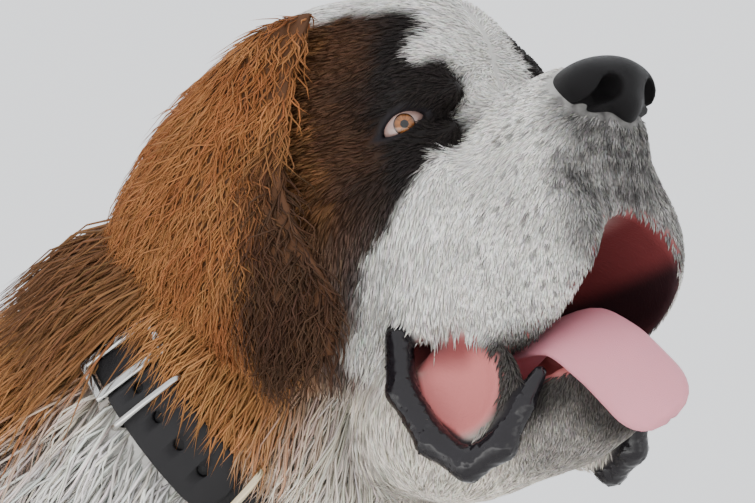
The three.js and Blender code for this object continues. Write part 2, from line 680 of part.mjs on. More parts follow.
// Torso, with locks that lie back and down
const bothLegs = (field) => (p) => field(p.x, Math.abs(p.y), p.z);
const upperLegs = (p) => bothLegs(foreField)(p) > COAT.leg && bothLegs(thighField)(p) > COAT.thigh - 14;
const trunkLine = [[250, 0, 560], [100, 0, 575], [-100, 0, 590], [-280, 0, 600]];
const trunkWrap = (level) => solid(wrap(trunkField, trunkLine, { rings: 8, sides: 18, ends: 3, level }));
const trunkHair = coat(trunkField, COAT.trunk, trunkLine, {
  rows: 5, places: 8, span: [0.1, 1],
  lie: () => vec([-0.85, 0, -0.5]),
  size: (p, out) => [out.z < -0.5 ? 96 : 150, 128, 15, 13],
  keep: (p) => neckField(p.x, p.y, p.z) > COAT.neck + 4 && upperLegs(p),
});
const torso = cut(dress(trunkWrap(COAT.trunk), trunkHair), neckSpace);
add('torso', torso, COLOURS.rust);
const trunkSpace = dress(trunkWrap(COAT.trunk + GAP), trunkHair, GAP);

// Legs
const stand = (field, level) => (x, y, z) => Math.max(field(x, y, z) - level, FLOOR - z);
const FORE_LINE = [[310, 100, 560], [340, 105, 500], ELBOW, WRIST, [286, 113, 90]];
const THIGH_LINE = [[-262, 90, 560], [-250, 105, 470], [-225, 122, 415]];
const foreWrap = (level) =>
  solid(wrap(foreField, FORE_LINE, { rings: 10, sides: 10, ends: 3, level, up: [1, 0, 0] }));
const pawWrap = (paw, level) =>
  solid(wrap(stand(pawField(paw), level), [[paw[0] - 16, paw[1], paw[2] - 6], [paw[0] + 26, paw[1], paw[2] - 12]], {
    rings: 4, sides: 16, ends: 3,
  }));
const forePaw = pawWrap(FORE_PAW, COAT.leg / 2);
const forePawGrown = pawWrap(FORE_PAW, COAT.leg / 2 + GAP);
const thighWrap = (level) =>
  solid(wrap(thighField, THIGH_LINE, { rings: 6, sides: 12, ends: 3, level, up: [1, 0, 0] }));
const shankWrap = (level) =>
  solid(wrap(shankField, [KNEE, [-330, 122, 272], HOCK, [-360, 118, 90]], {
    rings: 8, sides: 10, ends: 2, level, up: [1, 0, 0],
  }));
const hindPaw = pawWrap(HIND_PAW, COAT.leg / 2);
const hindPawGrown = pawWrap(HIND_PAW, COAT.leg / 2 + GAP);

// Feathering down the back of each foreleg, and breeches on each thigh
const feathers = coat(foreField, COAT.leg, FORE_LINE, {
  rows: 3, places: 5, span: [0.45, 0.85], up: [1, 0, 0],
  lie: () => vec([-0.5, 0, -0.85]),
  size: () => [72, 44, 10, 8],
  keep: (p) => outward(foreField, p).x < -0.3,
});
const breeches = coat(thighField, COAT.thigh, THIGH_LINE, {
  rows: 3, places: 6, span: [0.15, 1], up: [1, 0, 0],
  lie: (p) => vec([-0.45, 0.05, -0.9]),
  size: (p, out) => (out.x < 0 ? [124, 76, 14, 14] : [100, 84, 12, 9]),
  keep: (p) => p.y > 60 && trunkField(p.x, p.y, p.z) > COAT.trunk + 2,
});
const foreleg = cut(dress(foreWrap(COAT.leg), feathers), forePawGrown);
const thigh = dress(thighWrap(COAT.thigh), breeches);
const shank = cut(shankWrap(COAT.leg), dress(thighWrap(COAT.thigh + GAP), breeches, GAP), hindPawGrown);

// Tail: a plume of long locks that splay from the bone
const plume = coat(tailField, COAT.tail, TAIL_LINE, {
  rows: 4, places: 4, span: [0.06, 0.98], up: [1, 0, 0],
  lie: (p, out, along) => along.clone().addScaledVector(out, 0.5),
  size: (p, out) => [out.x < -0.2 ? 118 : 96, 56, 13, 13],
  keep: (p) => trunkField(p.x, p.y, p.z) > COAT.trunk,
});
const tailWrap = (level) =>
  solid(wrap(tailField, TAIL_LINE, { rings: 10, sides: 10, ends: 2, level, up: [1, 0, 0] }));
const tailSpace = dress(tailWrap(COAT.tail + GAP), plume, GAP);
add('tail', cut(dress(tailWrap(COAT.tail), plume), trunkSpace), COLOURS.rust);
const legRoom = joined([trunkSpace, neckSpace, tailSpace]);
for (const [name, body, colour] of [
  ['foreleg', foreleg, COLOURS.white],
  ['forepaw', forePaw, COLOURS.white],
  ['thigh', thigh, COLOURS.rust],
  ['shank', shank, COLOURS.white],
  ['hindpaw', hindPaw, COLOURS.white],
]) {
  add(name + '_left', cut(body, legRoom), colour);
  add(name + '_right', cut(mirrored(body), legRoom), colour);
}

model.position.set(-MIDDLE[0], -MIDDLE[1], -MIDDLE[2]);
export default model;
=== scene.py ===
import math

import bpy
import numpy as np
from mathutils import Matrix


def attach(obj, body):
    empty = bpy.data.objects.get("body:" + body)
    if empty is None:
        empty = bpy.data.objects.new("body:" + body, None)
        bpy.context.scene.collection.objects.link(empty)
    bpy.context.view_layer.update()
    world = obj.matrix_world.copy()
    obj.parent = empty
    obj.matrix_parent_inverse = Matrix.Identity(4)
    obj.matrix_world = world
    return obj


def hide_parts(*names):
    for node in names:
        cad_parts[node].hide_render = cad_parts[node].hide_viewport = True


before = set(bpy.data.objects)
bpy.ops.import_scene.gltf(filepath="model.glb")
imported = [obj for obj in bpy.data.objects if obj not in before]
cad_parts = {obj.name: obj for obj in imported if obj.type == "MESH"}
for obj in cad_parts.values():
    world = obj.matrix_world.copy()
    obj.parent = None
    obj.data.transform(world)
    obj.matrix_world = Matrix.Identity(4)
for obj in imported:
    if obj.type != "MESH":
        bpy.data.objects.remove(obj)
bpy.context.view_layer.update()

import openvdb

# Driving dimensions, as in the solids
WITHERS = 760.0
MIDDLE = np.array([56.0, 0.0, 0.0])
HEAD_YAW, HEAD_PITCH, HEAD_ROLL = -24.0, 17.0, -3.0
HEAD_PLACE = np.array([578.0, -65.0, 917.0])
COLLAR_WIDTH = 38.0
COLLAR_THICK = 4.0
COLLAR_LEVEL = 7.0

# The camera: level, far off as with a long lens, on the dog's right and a little ahead of it
CAMERA_TURN = 18.0
CAMERA_AWAY = 2450.0
PHOTO_WIDE = 755.0
PHOTO_SCALE = 1.883  # photo pixels to a millimetre at the head
PHOTO_HEAD = (464.74, 152.95)  # pixel midway between the eyes
PHOTO_MIDDLE = (377.5, 251.5)
SENSOR = 36.0

# Tufts in the pieces of coat; pairs are for the dog's right, which the photo shows, and its left
MUZZLE_TUFTS, SKULL_TUFTS = (15000, 10000), (14500, 10000)
THROAT_TUFTS, RUFF_TUFTS, NAPE_TUFTS = (4500, 3000), (5500, 4000), 3200
TAIL_TUFTS, EAR_TUFTS = 3500, 7500
SHARE = 1.0
SIDES = ((-1, "right"), (1, "left"))

rng = np.random.default_rng(11)


# Fields: negative inside a form, about the distance to it outside
def ball(centre, radii):
    """A ball stretched to three radii."""
    (cx, cy, cz), (rx, ry, rz) = centre, radii

    def field(x, y, z):
        u, v, w = (x - cx) / rx, (y - cy) / ry, (z - cz) / rz
        near = np.sqrt(u * u + v * v + w * w)
        steep = np.sqrt((u / rx) ** 2 + (v / ry) ** 2 + (w / rz) ** 2) + 1e-6
        return near * (near - 1.0) / steep

    return field


def limb(a, b, ra, rb):
    """A tapered bar with round ends."""
    a, b = np.array(a, float), np.array(b, float)
    d = b - a
    square = float(d @ d)

    def field(x, y, z):
        along = ((x - a[0]) * d[0] + (y - a[1]) * d[1] + (z - a[2]) * d[2]) / square
        t = np.clip(along, 0, 1)
        gap = (x - a[0] - t * d[0]) ** 2 + (y - a[1] - t * d[1]) ** 2 + (z - a[2] - t * d[2]) ** 2
        return np.sqrt(gap) - ra - (rb - ra) * t

    return field


def paired(field):
    """The same form on both sides of the middle plane."""
    return lambda x, y, z: field(x, np.abs(y), z)


def melt(soft, *fields):
    """Forms melted together: soft is how wide the blend between them is."""
    def field(x, y, z):
        d = fields[0](x, y, z)
        for other in fields[1:]:
            d = soft_min(d, other(x, y, z), soft)
        return d

    return field


def soft_min(d, e, soft):
    h = np.maximum(soft - np.abs(d - e), 0) / soft
    return np.minimum(d, e) - h * h * soft / 4


def soft_cut(d, hole, soft):
    """d with hole taken out and a rounded edge."""
    return -soft_min(-d, hole, soft)


# The head's own frame: x to the nose, y to the dog's left, z up, midway between the eyes
def turn(degrees, axis):
    c, s = math.cos(math.radians(degrees)), math.sin(math.radians(degrees))
    i, j = [(1, 2), (2, 0), (0, 1)][axis]
    m = np.eye(3)
    m[i, i], m[i, j], m[j, i], m[j, j] = c, -s, s, c
    return m


HEAD_TURN = turn(HEAD_YAW, 2) @ turn(-HEAD_PITCH, 1) @ turn(HEAD_ROLL, 0)


def from_head(p):
    return np.asarray(p, float) @ HEAD_TURN.T + HEAD_PLACE


def to_head(p):
    return (np.asarray(p, float) - HEAD_PLACE) @ HEAD_TURN


def in_body(field):
    """A field of the body's frame, asked in the head's frame."""
    m, c = HEAD_TURN, HEAD_PLACE

    def asked(x, y, z):
        return field(*(m[i, 0] * x + m[i, 1] * y + m[i, 2] * z + c[i] for i in range(3)))

    return asked


# Skeleton, as in the solids
WITHERS_TOP = WITHERS - 50
ELBOW, WRIST, FORE_PAW = (262, 118, 405), (268, 112, 190), (300, 114, 40)
KNEE, HOCK, HIND_PAW = (-200, 128, 405), (-372, 118, 225), (-342, 118, 40)
TAIL_LINE = [
    (-345, 0, 640), (-420, 0, 590), (-458, -6, 490), (-462, -14, 370), (-478, -20, 262), (-520, -24, 210),
]
NECK_LINE = [(215, 0, 590), (320, -4, 672), (425, -20, 762), (484, -31, 826)]
TOES = (-33, -12, 12, 33)

trunk_field = melt(
    60,
    ball((205, 0, 560), (190, 138, 172)),
    limb((120, 0, 580), (-150, 0, 588), 150, 136),
    ball((-255, 0, 600), (150, 118, 118)),
    limb((225, 0, WITHERS_TOP - 35), (60, 0, WITHERS_TOP - 45), 58, 52),
    ball((300, 0, 500), (95, 92, 110)),
)
neck_field = melt(
    50,
    limb(NECK_LINE[0], NECK_LINE[1], 148, 126),
    limb(NECK_LINE[1], NECK_LINE[2], 126, 102),
    limb(NECK_LINE[2], NECK_LINE[3], 102, 90),
)
fore_field = melt(
    30,
    limb((300, 98, 600), (352, 104, 500), 60, 66),
    limb((345, 106, 500), ELBOW, 62, 58),
    limb(ELBOW, WRIST, 52, 36),
    limb(WRIST, (286, 113, 66), 34, 33),
)
thigh_field = melt(
    30,
    limb((-270, 88, 590), (-225, 110, 470), 98, 86),
    limb((-225, 110, 470), KNEE, 84, 62),
    limb((-300, 96, 500), (-300, 112, 380), 72, 46),
)
shank_field = melt(
    24,
    limb(KNEE, (-330, 122, 270), 58, 42),
    limb((-330, 122, 270), HOCK, 40, 36),
    limb(HOCK, (-360, 118, 80), 34, 33),
)


def paw_field(place):
    """A paw with four toes, which reach 6 mm further ahead than the solids'."""
    x, y, z = place
    toes = [
        limb((x + 6, y + side * 0.8, z + 4), (x + 40 - abs(side) * 0.45 + 6, y + side, z - 16), 17, 16)
        for side in TOES
    ]
    return melt(
        8,
        ball((x, y, z), (54, 45, 42)),
        limb((x - 20, y, z + 30), (x - 6, y, z + 4), 34, 36),
        *toes,
    )


TAIL_THICK, TAIL_TAPER = 40, 5
TAIL_BONES = enumerate(zip(TAIL_LINE, TAIL_LINE[1:]))
tail_field = melt(
    20,
    *(limb(a, b, TAIL_THICK - TAIL_TAPER * i, TAIL_THICK - 4 - TAIL_TAPER * i) for i, (a, b) in TAIL_BONES),
)
foreleg_field = paired(melt(24, fore_field, paw_field(FORE_PAW)))
hindleg_field = paired(melt(24, thigh_field, shank_field, paw_field(HIND_PAW)))
body_field = melt(36, trunk_field, neck_field, tail_field, foreleg_field, hindleg_field)

# Head: cranium, forehead, brows, cheeks, muzzle and hanging lips. The first two and the front of
# the lips were fitted to the photo, and stand a few millimetres off the solids'
head_forms = melt(
    16,
    ball((-74, 0, 18), (90, 78, 87)),
    ball((-16, 0, 38), (48, 56, 55)),
    paired(ball((6, 36, 32), (22, 25, 22))),
    paired(ball((-72, 52, -42), (62, 34, 66))),
    paired(ball((-12, 44, -26), (42, 26, 36))),
    ball((46, 0, -20), (62, 37, 40)),
    ball((80, 0, -20), (28, 33, 38)),
    paired(ball((44, 33, -76), (58, 22, 50))),
    paired(ball((-2, 48, -66), (44, 19, 40))),
    paired(ball((73, 18, -56), (25, 25, 38))),
)
mouth_space = melt(10, ball((50, 0, -104), (84, 41, 46)), ball((-10, 0, -112), (34, 52, 24)))
jaw_forms = melt(
    14,
    ball((-30, 0, -136), (60, 54, 44)),
    ball((24, 0, -152), (52, 38, 28)),
    ball((62, 0, -148), (24, 30, 19)),
)

# The lower lip hangs in a rolled edge from the corner of the mouth round to the front
LIP_LINE = [
    (-18, 60, -100), (-18, 65, -128), (-6, 63, -158), (10, 57, -175),
    (30, 52, -170), (44, 46, -152), (52, 38, -138),
]
LIP_THICK = [7.0, 7.5, 8.0, 8.0, 7.5, 5.5, 3.5]
LIP_BARS = zip(LIP_LINE, LIP_LINE[1:], LIP_THICK, LIP_THICK[1:])
lip_roll = paired(melt(4, *(limb(*bar) for bar in LIP_BARS)))
lip_sheet = paired(ball((10, 48, -140), (36, 12, 34)))
jaw_space = melt(8, ball((14, 0, -126), (66, 34, 30)), paired(ball((12, 62, -132), (28, 15, 26))))

# Eyes: the ball, the way it looks out and the opening between the lids
EYE_PLACE = np.array([3.0, 48.0, 10.0])
EYE_RADIUS = 13.0
EYE_WIDE, EYE_TALL = 12.5, 5.0
LID_DROP = 1.9  # how far the upper lid hangs over the iris
EYE_OUT = np.array([0.55, 0.82, 0.1]) / np.linalg.norm([0.55, 0.82, 0.1])
EYE_ACROSS = np.array([0.72, -0.52, 0.28])
EYE_ACROSS = EYE_ACROSS - EYE_OUT * (EYE_ACROSS @ EYE_OUT)
EYE_ACROSS /= np.linalg.norm(EYE_ACROSS)
EYE_UP = -np.cross(EYE_OUT, EYE_ACROSS)


def from_eye(x, y, z):
    """A point's place from the middle of the nearer eye."""
    return x - EYE_PLACE[0], np.abs(y) - EYE_PLACE[1], z - EYE_PLACE[2]


def near_eye(x, y, z, reach):
    return np.linalg.norm(from_eye(x, y, z), axis=0) < reach


def eye_opening(x, y, z):
    """The almond between the lids of the nearer eye."""
    d = from_eye(x, y, z)
    across, rise, off = (sum(a * b for a, b in zip(d, axis)) for axis in (EYE_ACROSS, EYE_UP, EYE_OUT))
    a = across / EYE_WIDE
    b = (rise + LID_DROP) / (EYE_TALL * np.maximum(1 - 0.3 * a * a, 0.4))
    return np.maximum((np.sqrt(a * a + b * b) - 1) * EYE_TALL, 5 - off)


# Lids over the ball, the brow above them and the bag below
lid_forms = melt(
    5,
    paired(ball(tuple(EYE_PLACE), (15.6, 15.6, 15.6))),
    paired(limb((-10, 55, 22), (12, 52, 27), 7, 8)),
    paired(limb((12, 52, 27), (30, 38, 22), 8, 6)),
    paired(limb((-8, 60, 0), (10, 55, -5), 4.5, 5)),
    paired(limb((10, 55, -5), (26, 40, 2), 5, 4)),
)


def head_field(x, y, z):
    head = soft_min(head_forms(x, y, z), lid_forms(x, y, z), 7)
    head = soft_cut(head, mouth_space(x, y, z), 6)
    head = soft_cut(head, eye_opening(x, y, z), 2)
    jaw = soft_min(jaw_forms(x, y, z), lip_sheet(x, y, z), 10)
    jaw = soft_min(soft_cut(jaw, jaw_space(x, y, z), 6), lip_roll(x, y, z), 5)
    neck = in_body(neck_field)(x, y, z)
    return soft_min(soft_min(head, jaw, 6), neck, 26)


# The collar's place: an axis along the neck and a ring of angles round it from the nape
COLLAR_PLACE = np.array([450.0, -25.0, 789.0])
COLLAR_AXIS = np.array([0.77, -0.15, 0.62]) / np.linalg.norm([0.77, -0.15, 0.62])
COLLAR_TOP = np.array([0, 0, 1.0]) - COLLAR_AXIS * COLLAR_AXIS[2]
COLLAR_TOP /= np.linalg.norm(COLLAR_TOP)
COLLAR_SIDE = -np.cross(COLLAR_TOP, COLLAR_AXIS)
HALF_STRAP = COLLAR_WIDTH / 2


def along_neck(p):
    return (np.asarray(p) - COLLAR_PLACE) @ COLLAR_AXIS


def along_field(x, y, z):
    return sum((q - c) * a for q, c, a in zip((x, y, z), COLLAR_PLACE, COLLAR_AXIS))


# Meshes
def contour(field, low, high, voxel):
    """Points and quads of a field's surface, in the field's own frame."""
    axes = [np.arange(a, b, voxel, dtype=np.float32) for a, b in zip(low, high)]
    values = field(*np.meshgrid(*axes, indexing="ij")).astype(np.float32)
    grid = openvdb.FloatGrid(background=50.0)
    grid.copyFromArray(values / voxel)
    points, quads = grid.convertToQuads(isovalue=0.0)
    return points * voxel + np.array(low), quads


def metres(points):
    return (np.asarray(points, float) - MIDDLE) / 1000.0


def put(name, data):
    """A new object in the scene."""
    piece = bpy.data.objects.new(name, data)
    bpy.context.scene.collection.objects.link(piece)
    return piece


def mesh_object(name, points, faces):
    mesh = bpy.data.meshes.new(name)
    mesh.from_pydata(metres(points).tolist(), [], [list(f) for f in faces])
    mesh.shade_smooth()
    return put(name, mesh)


def dress(piece, material, slot, *nodes):
    """Gives a piece its material and its place in the part: the nodes that it replaces, if any."""
    piece.data.materials.clear()
    piece.data.materials.append(material)
    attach(piece, "root")
    if nodes:
        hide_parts(*nodes)


def head_object(name, points, faces):
    """An object from points in the head's frame."""
    return mesh_object(name, from_head(points), faces)


def plain(name, colour, roughness):
    material = bpy.data.materials.new(name)
    material.use_nodes = True
    shader = material.node_tree.nodes["Principled BSDF"]
    shader.inputs["Base Color"].default_value = (*colour, 1)
    shader.inputs["Roughness"].default_value = roughness
    return material


def camera():
    """The camera, set so that the point between the eyes falls on its pixel of the photo."""
    a = math.radians(CAMERA_TURN)
    right, back = np.array([math.cos(a), math.sin(a), 0]), np.array([math.sin(a), -math.cos(a), 0])
    up = np.array([0, 0, 1.0])
    across = (PHOTO_MIDDLE[0] - PHOTO_HEAD[0]) / PHOTO_SCALE
    rise = (PHOTO_HEAD[1] - PHOTO_MIDDLE[1]) / PHOTO_SCALE
    place = HEAD_PLACE + right * across + up * rise + back * CAMERA_AWAY
    data = bpy.data.cameras.new("camera")
    data.sensor_width = SENSOR
    data.lens = PHOTO_SCALE * CAMERA_AWAY * SENSOR / PHOTO_WIDE
    data.clip_end = 100
    seen = put("camera", data)
    seen.location = metres(place)
    seen.rotation_euler = (math.radians(90), 0, a)
    bpy.context.scene.camera = seen


# Ears: the middle of the flap, its half width and how far it bulges, from the root to the tip
EAR_ROWS = [
    ((-54, 66, 86), 18, 8), ((-76, 86, 66), 42, 16), ((-98, 104, 32), 60, 20), ((-110, 113, -6), 70, 20),
    ((-90, 117, -44), 60, 18), ((-60, 116, -80), 46, 14), ((-48, 112, -108), 24, 8),
]
EAR_THICK = 7.0


def loft(rings, loop=False):
    """Points and faces of a closed skin over rings of points."""
    sides = len(rings[0])
    points = [p for ring in rings for p in ring]
    faces = []
    rows = len(rings) if loop else len(rings) - 1
    for i in range(rows):
        here, there = i * sides, (i + 1) % len(rings) * sides
        for j in range(sides):
            beside = (j + 1) % sides
            faces.append((here + j, here + beside, there + beside, there + j))
    if not loop:
        faces.append(tuple(range(sides))[::-1])
        faces.append(tuple((len(rings) - 1) * sides + j for j in range(sides)))
    return np.array(points, float), faces


def smooth_rows(rows, count):
    """Rows of numbers, run through smoothly and read at evenly spaced places."""
    rows = np.array([[*middle, half, bulge] for middle, half, bulge in rows], float)
    at = np.linspace(0, len(rows) - 1, count)
    i = np.clip(at.astype(int), 0, len(rows) - 2)
    t = (at - i)[:, None]
    before, after = rows[np.clip(i - 1, 0, None)], rows[np.clip(i + 2, None, len(rows) - 1)]
    a, b = rows[i], rows[i + 1]
    return 0.5 * (2 * a + (b - before) * t + (2 * before - 5 * a + 4 * b - after) * t**2
        + (3 * a - before - 3 * b + after) * t**3)


def ear_rings(side, rows=26, count=14):
    rings = []
    for x, y, z, half, bulge in smooth_rows(EAR_ROWS, rows):
        ring = []
        for face in (1, -1):
            for j in range(count):
                u = face * (1 - (2 * j + 1) / count)
                off = bulge * (1 - u * u) - bulge + face * EAR_THICK * 0.5 * math.sqrt(1 - 0.8 * u * u)
                ring.append((x + u * half, side * (y + off), z))
        rings.append(ring)
    return rings


# Tongue: its line over the lower lip, and the way that its width runs at each place
TONGUE_LINE = [
    (-10, 0, -122), (30, -8, -114), (62, -18, -116), (86, -24, -134), (104, -26, -156), (120, -26, -180),
]
TONGUE_TURN = [
    (0, 1, 0.1), (0, 1, 0.3), (0.15, 0.8, 0.55), (0.4, 0.62, 0.62), (0.5, 0.52, 0.6), (0.55, 0.5, 0.6),
]
HALF_TONGUE, TONGUE_DEEP, TONGUE_BEND = 21.0, 5.0, 2.5  # half its width, half its thickness, its arch
TIP_FROM = 0.84  # the share of the tongue's length where its end starts to round off


def tongue_rings(count=40, sides=20):
    line = smooth_rows([(p, 0, 0) for p in TONGUE_LINE], count)[:, :3]
    across = smooth_rows([(p, 0, 0) for p in TONGUE_TURN], count)[:, :3]
    along = np.gradient(line, axis=0)
    rings = []
    for i in range(count):
        t = i / (count - 1)
        tip = math.sqrt(max(0.03, 1 - max(0.0, (t - TIP_FROM) / (1 - TIP_FROM)) ** 2))
        a = along[i] / np.linalg.norm(along[i])
        w = across[i] - a * (across[i] @ a)
        w /= np.linalg.norm(w)
        n = np.cross(a, w)
        half, thick = HALF_TONGUE * tip, TONGUE_DEEP * (0.4 + 0.6 * tip)
        ring = []
        for j in range(sides):
            turn_at = 2 * math.pi * j / sides
            c, s = math.cos(turn_at), math.sin(turn_at)
            groove = -1.6 * math.exp(-((c / 0.25) ** 2)) if s < 0 else 0
            off = thick * s - TONGUE_BEND * c * c - groove * 0.6
            ring.append(line[i] + w * half * c + n * off)
        rings.append(ring)
    return rings


# Nose pad, with its comma-shaped nostrils
nose_forms = melt(
    8,
    ball((96, 0, 4), (27, 26, 16)),
    paired(ball((104, 16, -1), (14, 12, 13))),
    ball((110, 0, -10), (10, 9, 10)),
)
nostrils = melt(
    6,
    paired(ball((116, 15.5, -3), (10, 6.5, 6.5))),
    paired(limb((110, 21, -7), (94, 28, -12), 3.5, 2)),
)


def nose_field(x, y, z):
    return soft_cut(nose_forms(x, y, z), nostrils(x, y, z), 2)


# Markings, the same for skin and coat; colours are linear red, green and blue
WHITE = (0.90, 0.87, 0.82)
CREAM = (0.82, 0.75, 0.66)
GREY = (0.16, 0.15, 0.15)
SOOT = (0.05, 0.046, 0.046)
ORANGE = (0.42, 0.19, 0.07)
RUST = (0.27, 0.10, 0.035)
BROWN = (0.10, 0.045, 0.022)
DARK = (0.018, 0.014, 0.013)
PINK = (0.62, 0.20, 0.19)
LIP = (0.012, 0.010, 0.012)
# A dark red for painted shade at the top of the mouth
MOUTH_SHADE = (0.13, 0.022, 0.025)
SPOT = (0.07, 0.065, 0.065)


def ripple(p, size):
    """Smooth noise from waves, about -1 to 1, with features of some size."""
    q = np.asarray(p) / size
    a = np.sin(q[:, 0] * 1.7 + 1.9 * np.sin(q[:, 1] * 1.3 + 0.7) + 0.4)
    b = np.sin(q[:, 1] * 1.9 + 1.7 * np.sin(q[:, 2] * 1.5 + 2.1) + 1.3)
    c = np.sin(q[:, 2] * 1.6 + 1.8 * np.sin(q[:, 0] * 1.2 + 0.2) + 2.6)
    return (a + b + c) / 3


def step(x, soft):
    """0 well below zero, 1 well above, smooth between."""
    t = np.clip(0.5 + x / (2 * soft), 0, 1)
    return t * t * (3 - 2 * t)


def blend(colours, other, share):
    share = np.asarray(share)[:, None]
    return colours * (1 - share) + np.array(other) * share


def flat(colour, count):
    """One colour for every point."""
    return np.tile(np.array(colour), (count, 1))


def either(first, second, share):
    """Two sets of colours, mixed point by point."""
    return first * (1 - share[:, None]) + second * share[:, None]


# The head's mask, as heights with how far forward it reaches; the blaze, as places along the head
# with its half width, on the dog's right and on its left
MASK_EDGE = [(-125, -62), (-76, -31), (-53, -15), (-25, 18), (13, 43), (25, 43), (45, 20)]
BLAZE = [(-110, 56), (-40, 42), (30, 26), (60, 24)]
FAR_BLAZE = [(-110, 44), (-40, 30), (20, 24), (60, 24)]


def head_marks(h):
    """White, with a dark mask behind an edge, brindled further back, and a sooty, spotted muzzle; a cream
    jaw, grey to the front, dark at the chin and with painted shade under the tongue.
    """
    x, y, z = h.T
    far, near_by = np.abs(y), ripple(h, 9.0)
    edge = np.interp(z, *zip(*MASK_EDGE)) + 4 * near_by + 14 * (y > 0) * step(z - 24, 10)
    half = np.where(y < 0, np.interp(x, *zip(*BLAZE)), np.interp(x, *zip(*FAR_BLAZE))) + 4 * near_by
    low_face = step(-20 - z, 14)
    mask = step(edge - x, 5) * np.maximum(step(far - half, 5), low_face)
    colours = flat(WHITE, len(h))
    fur = flat(DARK, len(h))
    fur = blend(fur, BROWN, step(-12 - x + 10 * ripple(h, 14.0), 22) * 0.85)
    fur = blend(fur, ORANGE, step(-40 - x + 8 * ripple(h + 40, 6.0), 16) * step(z + 70, 40) * 0.6)
    fur = blend(fur, GREY, step(-45 - z, 25) * step(x + 62, 20) * 0.45)
    speckle = 0.5 + 0.5 * ripple(h, 2.6)
    front = step(x - 88 - 0.12 * np.abs(z + 30) + 6 * near_by, 17)
    colours = blend(colours, SOOT, front * (0.66 + 0.34 * speckle))
    spots = step(ripple(h + 13, 2.3) - 0.5, 0.1) * step(x - 44 + 12 * near_by, 16)
    colours = blend(colours, SPOT, spots * 0.6)
    colours = either(colours, fur, mask)
    jaw = step(-112 - z, 8)
    under = flat(CREAM, len(h))
    under = blend(under, GREY, step(x - 14 + 6 * near_by, 16) * (0.5 + 0.35 * speckle))
    # Dark at the front of the chin, and painted shade on the top of the jaw under the hanging tongue
    chin_and_tongue_shade = np.maximum(step(x - 60, 14), step(x - 24, 12) * step(z + 158, 8))
    under = blend(under, DARK, chin_and_tongue_shade * 0.85)
    return either(colours, under, jaw)


def neck_angle(p):
    """Degrees round the neck from the nape: towards the dog's right up to 180, to its left below 0."""
    d = np.asarray(p) - COLLAR_PLACE
    return np.degrees(np.arctan2(d @ COLLAR_SIDE, d @ COLLAR_TOP))


def body_marks(p):
    """A rust mantle over white, and the orange ruff before the collar."""
    x, y, z = p.T
    rough = ripple(p, 60.0)
    along = along_neck(p)
    round_neck = np.abs(neck_angle(p))
    colours = flat(WHITE, len(p))
    mantle = flat(RUST, len(p))
    mantle = blend(mantle, ORANGE, step(ripple(p, 34.0), 0.8) * 0.6)
    mantle = blend(mantle, DARK, step(z - 690 + 25 * rough, 40) * 0.75)
    mantle = blend(mantle, DARK, step(ripple(p + 90, 90.0) - 0.25, 0.35) * 0.45)
    on_back = step(150 + 40 * rough - x, 30) * step(z - 470 - 30 * rough, 25)
    on_thigh = step(-120 - x, 30) * step(z - 330 - 20 * rough, 20) * step(np.abs(y) - 20, 20)
    on_tail = step(-365 - x, 20) * step(z - 300 - 20 * rough, 30)
    cover = np.maximum(np.maximum(on_back, on_thigh), on_tail)
    colours = either(colours, mantle, cover)
    ruff = flat(ORANGE, len(p))
    ruff = blend(ruff, BROWN, step(58 - round_neck + 12 * rough, 14) * 0.85)
    ruff = blend(ruff, CREAM, step(round_neck - 122, 16))
    nape = step(-along - 16, 4) * step(78 - round_neck + 8 * rough, 14) * step(along + 120, 30)
    ruff = blend(ruff, ORANGE, nape)
    before = np.maximum(step(along + 12, 6), nape)
    return either(colours, ruff, before)


def marks(p):
    """The colour at points of the body's frame."""
    h = to_head(p)
    on_head = step(6 - np.minimum(head_forms(*h.T), lid_forms(*h.T)), 4)
    jaw = step(6 - np.minimum(jaw_forms(*h.T), lip_sheet(*h.T)), 4) * step(h[:, 0] + 45, 12)
    return either(body_marks(p), head_marks(h), np.maximum(on_head, jaw))


def skin_marks(p):
    """The skin's own colour: the coat's, deeper, with black rims and a pink mouth, with painted shade at its
    top.
    """
    h = to_head(p)
    x, y, z = h.T
    colours = marks(p) * 0.6
    rim = step(2.6 - np.abs(eye_opening(x, y, z)), 1.4) * near_eye(x, y, z, 24)
    colours = blend(colours, LIP, rim)
    mouth = np.maximum(step(5 - mouth_space(x, y, z), 3), step(3 - jaw_space(x, y, z), 3))
    inside = mouth * step(z + 178, 6) * step(-62 - z, 5)
    colours = blend(colours, PINK, inside)
    # Painted shade at the top of the mouth, where the upper lips hang over it
    mouth_top_shade = inside * step(z + 118 + 3 * ripple(h, 7.0), 10)
    colours = blend(colours, MOUTH_SHADE, mouth_top_shade * 0.9)
    lip = step(2.2 - lip_roll(x, y, z), 1.6)
    colours = blend(colours, LIP, lip)
    flew = step(4.5 - np.abs(mouth_space(x, y, z)), 2) * step(4 - head_forms(x, y, z), 2)
    flew = flew * step(-88 - z, 6) * step(x + 30, 8)
    return blend(colours, LIP, flew * 0.9)


def paint(mesh, colours):
    """Keeps a colour for each of the mesh's points."""
    layer = mesh.attributes.new("Coat", "FLOAT_COLOR", "POINT")
    rgba = np.ones((len(colours), 4), np.float32)
    rgba[:, :3] = np.clip(colours, 0, 1)
    layer.data.foreach_set("color", rgba.ravel())


def points_of(mesh):
    """A mesh's points, in millimetres from between the feet."""
    found = np.empty(len(mesh.vertices) * 3)
    mesh.vertices.foreach_get("co", found)
    return found.reshape(-1, 3) * 1000 + MIDDLE


def principled(material):
    return material.node_tree.nodes["Principled BSDF"].inputs


def roughen(material, kind, output, size, strength, distance):
    """A bump from a texture of the given kind."""
    tree = material.node_tree
    texture = tree.nodes.new(kind)
    texture.inputs["Scale"].default_value = size
    bumps = tree.nodes.new("ShaderNodeBump")
    bumps.inputs["Strength"].default_value = strength
    bumps.inputs["Distance"].default_value = distance
    tree.links.new(texture.outputs[output], bumps.inputs["Height"])
    tree.links.new(bumps.outputs["Normal"], principled(material)["Normal"])
    return texture


